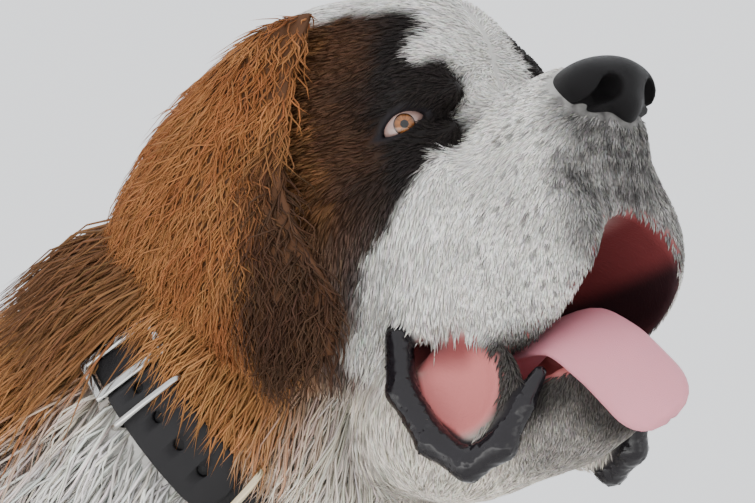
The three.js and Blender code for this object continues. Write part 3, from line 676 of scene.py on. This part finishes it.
def painted(name, roughness):
    """A material that takes its colour from the markings."""
    material = plain(name, (0.5, 0.5, 0.5), roughness)
    tree = material.node_tree
    colour = tree.nodes.new("ShaderNodeAttribute")
    colour.attribute_name = "Coat"
    tree.links.new(colour.outputs["Color"], principled(material)["Base Color"])
    principled(material)["Specular IOR Level"].default_value = 0.12
    return material


def quick_mesh(name, points, faces):
    """An object from arrays: points in millimetres, faces all of one count of corners."""
    mesh = bpy.data.meshes.new(name)
    mesh.vertices.add(len(points))
    mesh.vertices.foreach_set("co", metres(points).astype(np.float32).ravel())
    mesh.loops.add(faces.size)
    mesh.loops.foreach_set("vertex_index", faces.ravel().astype(np.int32))
    mesh.polygons.add(len(faces))
    mesh.polygons.foreach_set("loop_start", np.arange(0, faces.size, faces.shape[1], dtype=np.int32))
    mesh.update(calc_edges=True)
    mesh.shade_smooth()
    return put(name, mesh)


# Skin: one mesh from the body's field and the head's finer one, joined under the collar
def front_body(x, y, z):
    """The body, a hair thinner before the collar, where the head's own skin lies over it."""
    along = along_field(x, y, z)
    return np.maximum(body_field(x, y, z) + 1.5 * np.clip((along + 8) / 8, 0, 1), along - 40)


def head_skin(x, y, z):
    return np.maximum(head_field(x, y, z), -4 - in_body(along_field)(x, y, z))


def combine(piece, operation, tool):
    """A piece joined with or cut by another, which is then deleted."""
    joint = piece.modifiers.new("joint", "BOOLEAN")
    joint.operation, joint.solver, joint.object = operation, "MANIFOLD", tool
    bpy.context.view_layer.update()
    made = bpy.data.meshes.new_from_object(piece.evaluated_get(bpy.context.evaluated_depsgraph_get()))
    piece.modifiers.clear()
    piece.data = made
    bpy.data.objects.remove(tool)
    return made


HEAD_VOXEL = 2.0
BODY_VOXEL = 8  # the skin's coarser grid, in millimetres; the head's is finer
skin = head_object("skin", *contour(head_skin, (-230, -150, -235), (150, 150, 120), HEAD_VOXEL))
body = mesh_object("skin_body", *contour(front_body, (-600, -260, 0), (560, 260, 960), BODY_VOXEL))
whole = combine(skin, "UNION", body)
whole.shade_smooth()
paint(whole, skin_marks(points_of(whole)))
FLESH = ["head", "jaw", "neck", "torso", "tail"]
for part in ("foreleg", "forepaw", "thigh", "shank", "hindpaw"):
    FLESH += [part + "_left", part + "_right"]
hide = painted("skin", 0.5)
roughen(hide, "ShaderNodeTexNoise", "Fac", 500.0, 0.4, 0.001)
dress(skin, hide, "face_coat", *FLESH)


def papillae(x, y, z):
    """The drooping lower lip, with the knobbly edge it has in a big dog."""
    knobs = np.sin(x * 1.15 + y * 0.4) * np.sin(y * 1.3 - z * 0.3) * np.sin(z * 1.2)
    return lip_roll(x, y, z) - 0.5 - 0.9 * knobs


wet_black = plain("lip", LIP, 0.16)
principled(wet_black)["Specular IOR Level"].default_value = 0.35
lip = head_object("lower_lip", *contour(papillae, (-40, -90, -195), (80, 90, -80), 1.5))
dress(lip, wet_black, "nose_skin")

ears = {}
for side, name in ((1, "left"), (-1, "right")):
    ears[name] = head_object("ear_skin_" + name, *loft(ear_rings(side)))


# Coat: tufts with a root, a lie and a tip, made as arrays
def surface(mesh):
    """Points, their normals and the corners of each triangle."""
    mesh.calc_loop_triangles()
    corners = np.empty(len(mesh.loop_triangles) * 3, np.int32)
    mesh.loop_triangles.foreach_get("vertices", corners)
    normals = np.empty(len(mesh.vertices) * 3)
    mesh.vertices.foreach_get("normal", normals)
    return points_of(mesh), normals.reshape(-1, 3), corners.reshape(-1, 3)


def scatter(points, normals, corners, weight, count):
    """Roots spread over triangles in proportion to their area times a weight."""
    a, b, c = (points[corners[:, i]] for i in range(3))
    area = 0.5 * np.linalg.norm(np.cross(b - a, c - a), axis=1) * weight
    chosen = rng.choice(len(corners), count, p=area / area.sum())
    u, v = rng.random((2, count, 1))
    u, v = np.where(u + v > 1, 1 - u, u), np.where(u + v > 1, 1 - v, v)
    na, nb, nc = (normals[corners[chosen, i]] for i in range(3))
    out = na + u * (nb - na) + v * (nc - na)
    root = a[chosen] + u * (b[chosen] - a[chosen]) + v * (c[chosen] - a[chosen])
    return root, unit(out)


def unit(v):
    return v / np.maximum(np.linalg.norm(v, axis=-1, keepdims=True), 1e-9)


def tuft_faces(rings):
    """Corners of one tuft: a root cap, strips of two triangles a side, and the tip."""
    faces = [(0, 2, 1)]
    for k in range(rings - 1):
        for j in range(3):
            a, b = 3 * k + j, 3 * k + (j + 1) % 3
            faces += [(a, b, b + 3), (a, b + 3, a + 3)]
    faces += [(3 * rings - 3 + j, 3 * rings - 3 + (j + 1) % 3, 3 * rings) for j in range(3)]
    return np.array(faces)


# A tuft's width at each of its rings, as a share of the full width, by the number of rings
PROFILE = {2: (0.85, 1.0), 3: (0.8, 1.0, 0.66), 4: (0.75, 1.0, 0.85, 0.5)}
PATCH = 0.003  # how wide a tuft's place is on the bake map
CLUMP, SWAY = 22.0, 0.35  # how wide the waves in the coat's lie are, and how far they turn it
ROOT_TONE, TONE_RISE = 0.74, 0.34  # a tuft's brightness at its root, and what it gains to the tip
LOWEST_HAIR = 0.3  # millimetres over the floor


def bake_map(piece, faces, root, rings):
    """Each tuft's patch at its root's place, with the piece unrolled about a line along the dog."""
    centre = root.mean(axis=0)
    rolled = np.arctan2(root[:, 2] - centre[2], root[:, 1] - centre[1]) / (2 * math.pi) + 0.5
    spread = (root[:, 0] - root[:, 0].min()) / max(np.ptp(root[:, 0]), 1e-6)
    patch = np.stack([rolled, spread], 1) * (1 - 2 * PATCH) + PATCH
    corner = [(j / 2 - 0.5, k / rings - 0.5) for k in range(rings) for j in range(3)] + [(0, 0.5)]
    uv = (patch[:, None] + (np.array(corner) * PATCH)[None]).reshape(-1, 2)[faces.ravel()]
    layer = piece.data.uv_layers.new(name="OFBake")
    layer.data.foreach_set("uv", uv.astype(np.float32).ravel())


def grow(
    name, slot, material, root, out, lie, length, width, rise,
    field=None, wave=0.0, droop=0.0, rings=3, shade=None, sway=1.0,
):
    """A piece of coat. field keeps each lock at its height over the skin all along."""
    count = len(root)
    swirl = [ripple(root + 70 * i, CLUMP) for i in (1, 2, 3)]
    lie = lie + SWAY * sway * np.stack(swirl, 1)
    lie = unit(lie - out * np.sum(lie * out, axis=1, keepdims=True))
    side = np.cross(lie, out)
    phase = rng.uniform(0, 2 * math.pi, (count, 1))
    sizes = (length, width, rise)
    length, width, rise = (np.broadcast_to(size, (count,))[:, None] for size in sizes)
    rise = rise * rng.uniform(0.4, 1.5, (count, 1))
    at = root - out * 0.5 * width
    points, colours = [], []
    base = marks(root) if shade is None else shade
    base = base * rng.uniform(0.78, 1.16, (count, 1)) * (1 + rng.normal(0, 0.03, (count, 3)))
    base = base * (1 + 0.16 * ripple(root, 9.0))[:, None]
    down = np.array([0, 0, -1.0])
    for k in range(rings + 1):
        t = k / rings
        if k:
            way = unit(lie * (1 - droop * t) + down * droop * t)
            at = at + way * length / rings
            if field is not None:
                height = rise * math.sin(1.9 * t)
                at = at + out * np.clip(height - field(*at.T)[:, None], -0.5 * length, 0.5 * length)
            else:
                at = at + out * rise / rings
        bent = at + side * wave * length * (np.sin(phase + 4.2 * t) - np.sin(phase)) * 0.5
        tone = base * (ROOT_TONE + TONE_RISE * t)
        if k == rings:
            points.append(bent[:, None])
            colours.append(tone[:, None])
            break
        half = width * 0.5 * PROFILE[rings][k]
        points.append(np.stack([bent - side * half, bent + out * half * 0.7, bent + side * half], 1))
        colours.append(np.repeat(tone[:, None], 3, 1))
    each = 3 * rings + 1
    points = np.concatenate(points, 1).reshape(-1, 3)
    points[:, 2] = np.maximum(points[:, 2], LOWEST_HAIR)
    colours = np.concatenate(colours, 1).reshape(-1, 3)
    template = tuft_faces(rings)
    faces = (template[None] + each * np.arange(count)[:, None, None]).reshape(-1, 3)
    piece = quick_mesh(name, points, faces)
    paint(piece.data, colours)
    bake_map(piece, faces, root, rings)
    dress(piece, material, slot)


# Where the coat grows: the skin's triangles, and what each is part of
skin_points, skin_normals, skin_corners = surface(whole)
centre = skin_points[skin_corners].mean(axis=1)
hx, hy, hz = to_head(centre).T
along = along_neck(centre)
eye_gap = np.where(near_eye(hx, hy, hz, 30), eye_opening(hx, hy, hz), 9)
inner_mouth = (mouth_space(hx, hy, hz) < 3) | (jaw_space(hx, hy, hz) < 4)
on_lip = (lip_roll(hx, hy, hz) < 3) & (hx > -24) & (hx < 56)
bare = inner_mouth | on_lip | (nose_forms(hx, hy, hz) < 1.5) | (eye_gap < 4.0)
under_collar = np.abs(along) < HALF_STRAP - 2
furry = ~bare & ~under_collar & (centre[:, 2] > 4)
is_skull = (neck_field(*centre.T) > 5) | (head_forms(hx, hy, hz) < 5)
is_jaw = (jaw_forms(hx, hy, hz) < 5) & (hx > -40) | (lip_sheet(hx, hy, hz) < 4)
is_head = (along > 0) & is_skull | is_jaw
NECK, TRUNK, FORELEG, HINDLEG, TAIL = range(5)
body_fields = (neck_field, trunk_field, foreleg_field, hindleg_field, tail_field)
kind = np.argmin([field(*centre.T) for field in body_fields], axis=0)
fur = painted("fur", 0.6)
face_fur = painted("face_fur", 0.65)


def roots(keep, count):
    """Roots on the skin's triangles to keep, and the ways out from it there."""
    count = int(count * SHARE)
    return scatter(skin_points, skin_normals, skin_corners, keep.astype(float), count)


def head_lie(root):
    """Back from the nose, and down where the cheeks and lips hang."""
    h = to_head(root)
    x, y, z = h.T
    low = step(-18 - z, 25)
    back, side, down = -np.ones(len(h)) * (1 - 0.55 * low), 0.3 * np.sign(y), -0.15 - 0.75 * low
    return np.stack([back, side * step(z - 20, 20), down], 1) @ HEAD_TURN.T


def head_fur_field(x, y, z):
    h = to_head(np.stack([x, y, z], 1))
    return head_field(*h.T)


def face_piece(name, keep, count, width, rise):
    root, out = roots(furry & is_head & keep, count)
    h = to_head(root)
    longer = face_length(*h.T) * rng.uniform(0.75, 1.25, len(root))
    lie = head_lie(root) + rng.normal(0, 0.1, root.shape)
    wider = width * (0.75 + longer / 40)
    grow(
        name, "face_coat", face_fur, root, out, lie, longer, wider, rise,
        head_fur_field, rings=2, wave=0.04, sway=0.35,
    )


def face_length(x, y, z):
    """Short on the muzzle, longer to the back of the cheeks, and short again by the lower lip."""
    base = np.interp(x, (-90, -40, 10, 40, 110), (20, 13, 8, 6, 4.5))
    base = base + 12 * step(-118 - z, 12) * step(-36 - x, 16) + 3 * step(-40 - z, 20) * step(20 - x, 20)
    return np.minimum(base, 4 + 0.5 * np.maximum(lip_roll(x, y, z), 0))


MUZZLE_FROM = 22
for (side, name), muzzle, skull in zip(SIDES, MUZZLE_TUFTS, SKULL_TUFTS):
    mine = hy * side > 0
    face_piece("coat_muzzle_" + name, mine & (hx > MUZZLE_FROM), muzzle, 1.0, 0.8)
    face_piece("coat_skull_" + name, mine & (hx <= MUZZLE_FROM), skull, 1.2, 1.1)


def neck_piece(name, keep, count, front):
    """The neck's coat before or behind the collar, longer further from the strap."""
    root, out = roots(furry & ~is_head & (kind == NECK) & keep & ((along > 0) == front), count)
    s = along_neck(root)
    if front:
        length = np.clip((s - 5) * 1.15, 9, 60) * rng.uniform(0.8, 1.15, len(root))
        rise, width = np.clip(s * 0.3, 5, 13), 1.5
    else:
        length = np.interp(-s, (15, 60, 160), (45, 80, 105)) * rng.uniform(0.7, 1.2, len(root))
        rise, width = np.interp(-s, (15, 50, 120), (6, 13, 16)), 2.1
    lie = -0.85 * COLLAR_AXIS + np.array([0, 0, -0.45]) + rng.normal(0, 0.13, root.shape)
    grow(name, "rust_coat", fur, root, out, lie, length, width, rise, body_field, wave=0.16, droop=0.35)


for (side, name), throat, ruff in zip(SIDES, THROAT_TUFTS, RUFF_TUFTS):
    mine = centre[:, 1] * side > (-20 * side)
    neck_piece("coat_throat_" + name, mine, throat, True)
    neck_piece("coat_ruff_" + name, mine, ruff, False)


def nape_piece():
    """Long hair from behind the ears that falls over the collar's upper part."""
    round_neck = neck_angle(centre)
    root, out = roots(furry & (along > 14) & (along < 70) & (np.abs(round_neck + 20) < 80), NAPE_TUFTS)
    lie = -0.9 * COLLAR_AXIS + np.array([0, 0, -0.2]) + rng.normal(0, 0.13, root.shape)
    length = rng.uniform(70, 120, len(root))
    grow("coat_nape", "rust_coat", fur, root, out, lie, length, 2.6, 17.0, body_field, wave=0.16, droop=0.2)


nape_piece()


def body_piece(name, slot, keep, count, lie, length, width, rise, wave=0.1, rings=3):
    """A piece of the body's coat. lie and length are functions of the roots and the ways out."""
    root, out = roots(furry & ~is_head & keep, count)
    longer = length(root, out) * rng.uniform(0.7, 1.2, len(root))
    ways = lie(root, out) + rng.normal(0, 0.12, root.shape)
    grow(name, slot, fur, root, out, ways, longer, width, rise, body_field, wave, 0.3, rings)


def fixed(*way):
    """The same lie all over."""
    return lambda root, out: np.tile(np.array(way, float), (len(root), 1))


def by_height(heights, lengths):
    return lambda root, out: np.interp(root[:, 2], heights, lengths)


def breeches(root, out):
    return np.where(out[:, 0] < -0.2, 96, 76)


def feathered(root, out):
    """A foreleg's coat, longer down the back of the leg."""
    behind = step(-0.35 - out[:, 0], 0.3) * step(root[:, 2] - 120, 40)
    return np.interp(root[:, 2], (30, 110, 450), (9, 16, 34)) + 34 * behind


THIGH_OVER = 300
trunk = by_height((420, 560, 720), (84, 78, 66))
shank = by_height((30, 110, 300), (9, 16, 34))
is_thigh = centre[:, 2] > THIGH_OVER
# Name, slot, where it grows, tufts, lie, length, width, rise and rings
BODY_COAT = (
    ("trunk", "rust_coat", kind == TRUNK, 6000, fixed(-0.85, 0, -0.5), trunk, 4.4, 12.0, 3),
    ("thigh", "rust_coat", (kind == HINDLEG) & is_thigh, 2500, fixed(-0.45, 0, -0.9), breeches, 4.6, 25.0, 3),
    ("hindleg", "white_coat", (kind == HINDLEG) & ~is_thigh, 3000, fixed(-0.1, 0, -1), shank, 2.6, 2.4, 2),
    ("foreleg", "white_coat", kind == FORELEG, 4000, fixed(-0.25, 0, -1), feathered, 2.8, 3.0, 2),
)
for side, name in SIDES:
    mine = centre[:, 1] * side > 0
    for part, slot, keep, *rest, rings in BODY_COAT:
        body_piece("coat_" + part + "_" + name, slot, mine & keep, *rest, rings=rings)


def tail_lie(root, out):
    """Along the bone, and away from it."""
    line = np.array(TAIL_LINE, float)
    nearest = np.argmin(np.linalg.norm(root[:, None] - line[None], axis=2), axis=1)
    ways = np.gradient(line, axis=0)
    return unit(ways[nearest]) + 0.5 * out


def tail_length(root, out):
    return 62 + 38 * step(-0.1 - out[:, 0], 0.4)


body_piece("coat_tail", "rust_coat", kind == TAIL, TAIL_TUFTS, tail_lie, tail_length, 4.5, 16.0, wave=0.2)


def ear_piece(side, name):
    """Wavy hair on both faces of a flap: rusty, and dark at its lower front."""
    flap = ears[name]
    found = surface(flap.data)
    root, out = scatter(*found, np.ones(len(found[2])), int(EAR_TUFTS * SHARE))
    h = to_head(root)
    x, y, z = h.T
    outer = np.sum((out @ HEAD_TURN) * np.array([0, side, 0]), axis=1) > 0
    back = step(-84 - x + 0.2 * z, 22)
    lie = np.stack([-0.25 - 0.65 * back, 0 * x, -0.9 + 0.25 * back], 1) @ HEAD_TURN.T
    length = np.where(outer, 24 + 14 * back * step(z + 50, 24), 9) * rng.uniform(0.7, 1.25, len(root))
    tone = flat(np.array(RUST) * 1.25, len(root))
    tone = blend(tone, ORANGE, step(ripple(h, 11.0), 0.7) * 0.7)
    lower_front = step(x + 66 - 0.25 * (z + 40) + 8 * ripple(h, 8.0), 14) * step(18 - z, 26)
    tone = blend(tone, DARK, lower_front * 0.85)
    lie = lie + rng.normal(0, 0.2, root.shape)
    rise = np.where(outer, 4.0, 1.5)
    grow(
        "coat_ear_" + name, "ear_coat", fur, root, out, lie, length, 1.35, rise,
        wave=0.3, droop=0.2, shade=tone,
    )
    paint(flap.data, flat(BROWN, len(flap.data.vertices)))
    dress(flap, painted("ear_skin_" + name, 0.6), "ear_coat", "ear_" + name)


for side, name in SIDES:
    ear_piece(side, name)


# Whiskers: long, thin and pale, from the sides of the muzzle, fewer on the dog's right
def whiskers():
    spots = [(x, z) for x in (72, 84) for z in (-40, -54, -68)]
    root, out = [], []
    for side in (-1, 1):
        for x, z in spots[:: 1 if side > 0 else 2]:
            root.append((x, side * (40 if x < 80 else 34), z))
            out.append((0.2, side, -0.3))
    root, out = from_head(root), unit(np.array(out) @ HEAD_TURN.T)
    lie = out + np.array([0.1, 0, -0.5]) + rng.normal(0, 0.3, out.shape)
    tone = flat((0.7, 0.68, 0.65), len(root))
    across = unit(np.cross(lie, (0, 0, 1.0)))
    grow("whiskers", "white_coat", fur, root, across, lie, 30, 0.35, 1.0, droop=0.4, rings=4, shade=tone)


whiskers()

# Tongue, nose and eyes
tongue = head_object("tongue_flesh", *loft(tongue_rings()))
wet = plain("tongue", (0.78, 0.30, 0.36), 0.3)
principled(wet)["Subsurface Weight"].default_value = 0.15
principled(wet)["Subsurface Radius"].default_value = (0.006, 0.002, 0.0015)
creases = roughen(wet, "ShaderNodeTexNoise", "Fac", 260.0, 0.5, 0.0012)
creases.inputs["Detail"].default_value = 6.0
dress(tongue, wet, "tongue_flesh", "tongue")


def leathery(name, colour, roughness, size, strength, distance):
    material = plain(name, colour, roughness)
    principled(material)["Specular IOR Level"].default_value = 0.22
    roughen(material, "ShaderNodeTexVoronoi", "Distance", size, strength, distance)
    return material


nose = head_object("nose_pad", *contour(nose_field, (60, -40, -35), (135, 40, 35), 1.2))
dress(nose, leathery("nose", (0.014, 0.012, 0.013), 0.42, 420.0, 1.0, 0.0016), "nose_skin", "nose")

# Eyes: rings of points round the way that they look, close together over the iris
FINE_RINGS, BACK_RINGS, EYE_SIDES = 45, 19, 48
PUPIL_ANGLE, IRIS_ANGLE, LIMBUS_ANGLE = 9.5, 24.0, 26.5
EYE_LOOK = (0.66, 0.73, -0.14)
PUPIL, IRIS = (0.004, 0.003, 0.003), (0.27, 0.095, 0.022)
LIMBUS, SCLERA = (0.012, 0.008, 0.006), (0.34, 0.22, 0.19)


def eye_tone(angle, t):
    """The eye's colour by the angle from its axis and round it."""
    if angle < PUPIL_ANGLE:
        return PUPIL
    if angle < IRIS_ANGLE:
        streak = 0.8 + 0.25 * math.sin(t * 23) * math.sin(t * 7 + 1) + 0.15 * math.sin(t * 41)
        fade = (angle - PUPIL_ANGLE) / (IRIS_ANGLE - PUPIL_ANGLE)
        light = (1.15 - 0.75 * fade**3) * streak
        return [part * light for part in IRIS]
    return LIMBUS if angle < LIMBUS_ANGLE else SCLERA


def eye(side, name):
    look = unit(np.array([EYE_LOOK[0], side * EYE_LOOK[1], EYE_LOOK[2]]) @ HEAD_TURN.T)
    first = unit(np.cross(look, (0, 0, 1.0)))
    second = np.cross(look, first)
    middle = from_head((EYE_PLACE[0], side * EYE_PLACE[1], EYE_PLACE[2]))
    rings, tones = [], []
    fine, back = np.linspace(0.5, 32, FINE_RINGS), np.linspace(35, 179.5, BACK_RINGS)
    for angle in np.concatenate([fine, back]):
        bulge = 1 + 0.05 * max(0.0, 1 - (angle / 26) ** 2)
        a = math.radians(angle)
        ring = []
        for j in range(EYE_SIDES):
            t = 2 * math.pi * j / EYE_SIDES
            way = look * math.cos(a) + (first * math.cos(t) + second * math.sin(t)) * math.sin(a)
            ring.append(middle + way * EYE_RADIUS * bulge)
            tones.append(eye_tone(angle, t))
        rings.append(ring)
    ball_piece = mesh_object("eye_ball_" + name, *loft(rings))
    paint(ball_piece.data, np.array(tones))
    glass = painted("eye_" + name, 0.04)
    principled(glass)["Specular IOR Level"].default_value = 0.5
    principled(glass)["Coat Weight"].default_value = 0.3
    principled(glass)["Coat Roughness"].default_value = 0.02
    dress(ball_piece, glass, "eye_glass", "eye_" + name)


eye(1, "left")
eye(-1, "right")


def joined_loops(parts):
    """Several sets of points and faces as one."""
    points, faces = [], []
    for part_points, part_faces in parts:
        faces += [tuple(len(points) + v for v in face) for face in part_faces]
        points += list(part_points)
    return np.array(points), faces


CLAW_LONG, CLAW_DROP = 19, 14
CLAW_ROWS = ((0, 4.5), (0.4, 4.0), (0.75, 2.6), (1, 0.8))  # along it, its radius


def claw(root):
    rings = []
    for t, radius in CLAW_ROWS:
        middle = root + np.array([CLAW_LONG * t, 0, -3 * t - (CLAW_DROP - 3) * t * t])
        turns = np.linspace(0, 2 * math.pi, 10, endpoint=False)
        section = np.stack([0.3 * np.sin(turns), 0.8 * np.cos(turns), np.sin(turns)], 1)
        rings.append(list(middle + radius * section))
    return loft(rings)


def claws():
    """A short dark claw before each toe."""
    parts = []
    for paw in (FORE_PAW, HIND_PAW):
        for mirror in (1, -1):
            for side in TOES:
                ahead = paw[0] + 54 - 0.45 * abs(side)
                parts.append(claw(np.array([ahead, mirror * (paw[1] + side), paw[2] - 18.0])))
    piece = mesh_object("claws", *joined_loops(parts))
    dress(piece, plain("claw", (0.10, 0.075, 0.055), 0.35), "nose_skin")


claws()

# Collar
leather = leathery("leather", (0.014, 0.013, 0.014), 0.36, 260.0, 0.35, 0.0008)
steel = plain("steel", (0.55, 0.54, 0.52), 0.22)
brass = plain("brass", (0.72, 0.60, 0.40), 0.25)
for metal in (steel, brass):
    principled(metal)["Metallic"].default_value = 1.0

# Round the band, in degrees from the nape: the buckle's frame, its keeper, the holes, the end
FRAME_SPAN, KEEPER_AT, END_AT = (72.0, 84.0), 92.0, 122.0
HOLES_AT = (87.5, 96.5, 105.0, 113.5)
GAP = 0.3
ON_STRAP = COLLAR_THICK + GAP
ON_TONGUE = ON_STRAP + COLLAR_THICK + GAP
BAR_RADIUS, HOLE_RADIUS = 112, 115  # about the band's own, for turning lengths round it into degrees
HOLE = 3.2
UNDER = -2.6  # how far the bars reach below the strap's inside


def on_band(angle, across, height):
    """Points on the band: degrees from the nape, place across the strap, height over its inside.

    The neck's own radius there is found by halving the way between two that are sure to hold it.
    """
    angle, across, height = np.broadcast_arrays(np.radians(angle), across, height)
    out = COLLAR_TOP * np.cos(angle)[..., None] + COLLAR_SIDE * np.sin(angle)[..., None]
    at = COLLAR_PLACE + COLLAR_AXIS * across[..., None]
    near, far = np.full(angle.shape, 40.0), np.full(angle.shape, 260.0)
    for _ in range(24):
        r = (near + far) / 2
        p = at + out * r[..., None]
        inside = neck_field(*np.moveaxis(p, -1, 0)) < COLLAR_LEVEL
        near, far = np.where(inside, r, near), np.where(inside, far, r)
    return at + out * (near + height)[..., None]


def squared(v, power):
    return np.sign(v) * np.abs(v) ** power


def strap_section(half, low, high):
    """Corners of a flat bar's section, rounded, as places across and heights."""
    middle, deep = (low + high) / 2, (high - low) / 2
    turns = np.linspace(0, 2 * math.pi, 20, endpoint=False)
    c, s = np.cos(turns), np.sin(turns)
    return squared(c, 0.25) * half, middle + squared(s, 0.35) * deep


def strap_piece(start, end, steps, low, high, half):
    """A flat bar bent round the band, with its half width as a function of the way along."""
    loop = end - start >= 360
    rings = []
    for i in range(steps if loop else steps + 1):
        t = i / steps
        across, height = strap_section(half(t), low, high)
        rings.append(on_band(start + t * (end - start), across, height))
    return loft([list(ring) for ring in rings], loop)


def wire_loop(angle, corners, radius, sides=10):
    """A round bar bent into a loop through corners given across and over the strap."""
    path = np.array(corners, float)
    filled = []
    for a, b in zip(path, np.roll(path, -1, axis=0)):
        filled += [a + (b - a) * t for t in (0.08, 0.5, 0.92)]
    path = np.array(filled)
    ways = unit(np.roll(path, -1, axis=0) - np.roll(path, 1, axis=0))
    rings = []
    for (across, height), (run, climb) in zip(path, ways):
        turns = np.linspace(0, 2 * math.pi, sides, endpoint=False)
        off, sideways = radius * np.cos(turns), radius * np.sin(turns)
        at = angle + np.degrees(sideways / BAR_RADIUS)
        rings.append(list(on_band(at, across + climb * off, height - run * off)))
    return loft(rings, True)


def rounded_end(t):
    """Half the width of the strap's free end, which is round over its last fifth."""
    return HALF_STRAP * math.sqrt(max(0.02, 1 - max(0.0, (t - 0.8) / 0.2) ** 2)) - 1.5


def strap_end():
    """The free end of the strap, with its row of holes."""
    low, high = ON_STRAP, ON_STRAP + COLLAR_THICK
    end = mesh_object("strap_end", *strap_piece(FRAME_SPAN[1] + 1, END_AT, 60, low, high, rounded_end))
    for angle in HOLES_AT:
        turns = np.radians(np.linspace(0, 360, 20, endpoint=False))
        across, over = HOLE * np.sin(turns), np.degrees(HOLE * np.cos(turns) / HOLE_RADIUS)
        rings = [list(on_band(angle + over, across, height)) for height in (low - 3, high + 4)]
        combine(end, "DIFFERENCE", mesh_object("punch", *loft(rings)))
    return end


def buckle_frame():
    """Two bars across the strap and two along its edges."""
    outer, inner = HALF_STRAP + 4, HALF_STRAP
    low, high = FRAME_SPAN
    under, over = ON_STRAP + GAP, ON_STRAP + 3.8
    spans = (low, low + 2.2), (high - 2.2, high)
    bars = [strap_piece(*span, 4, under, over, lambda t: outer) for span in spans]
    for edge in (-1, 1):
        rings = []
        for angle in np.linspace(low, high, 12):
            across, height = strap_section((outer - inner) / 2, under, over)
            rings.append(list(on_band(angle, edge * (outer + inner) / 2 + across, height)))
        bars.append(loft(rings))
    return mesh_object("frame", *joined_loops(bars))


def collar():
    strap = mesh_object("strap", *strap_piece(0, 360, 150, 0, COLLAR_THICK, lambda t: HALF_STRAP))
    dress(strap, leather, "collar_leather", "collar_strap")
    dress(strap_end(), leather, "collar_leather", "collar_tongue")
    wide, top = HALF_STRAP + 2.2, ON_TONGUE + 2.4
    square = [(-wide, UNDER), (wide, UNDER), (wide, top), (-wide, top)]
    keeper = mesh_object("keeper", *wire_loop(KEEPER_AT, square, 1.7))
    dress(keeper, steel, "collar_steel", "collar_keeper")
    dress(buckle_frame(), steel, "collar_steel", "collar_frame")
    reach = HALF_STRAP + 3
    arc = [(math.cos(a) * reach, ON_TONGUE + 1 + math.sin(a) * 9) for a in np.linspace(0, math.pi, 25)]
    ring = mesh_object("ring", *wire_loop(END_AT + 1.5, [(reach, UNDER), *arc, (-reach, UNDER)], 2.0))
    dress(ring, brass, "collar_brass", "collar_ring")


collar()
camera()

# Floor, light and world
bpy.ops.mesh.primitive_plane_add(size=12, location=(0, 0, 0))
floor = bpy.context.object
floor.data.materials.append(plain("floor", (0.8, 0.8, 0.78), 0.9))
LAMPS_AIM = np.array([0.45, -0.05, 0.75])


def soft_lamp(name, place, size, power):
    data = bpy.data.lights.new(name, "AREA")
    data.size, data.energy = size, power
    lamp = put(name, data)
    lamp.location = place
    x, y, z = LAMPS_AIM - np.array(place)
    lamp.rotation_euler = (math.atan2(math.hypot(x, y), -z), 0, math.atan2(-x, y) + math.pi)


soft_lamp("key", (-0.4, -2.5, 2.7), 1.4, 620)
soft_lamp("fill", (2.4, -1.2, 1.6), 2.0, 130)
soft_lamp("back", (-1.5, 2.2, 2.4), 1.6, 150)
world = bpy.data.worlds.new("world")
world.use_nodes = True
sky = world.node_tree.nodes["Background"]
sky.inputs["Color"].default_value = (0.92, 0.94, 0.97, 1)
sky.inputs["Strength"].default_value = 1.6
bpy.context.scene.world = world
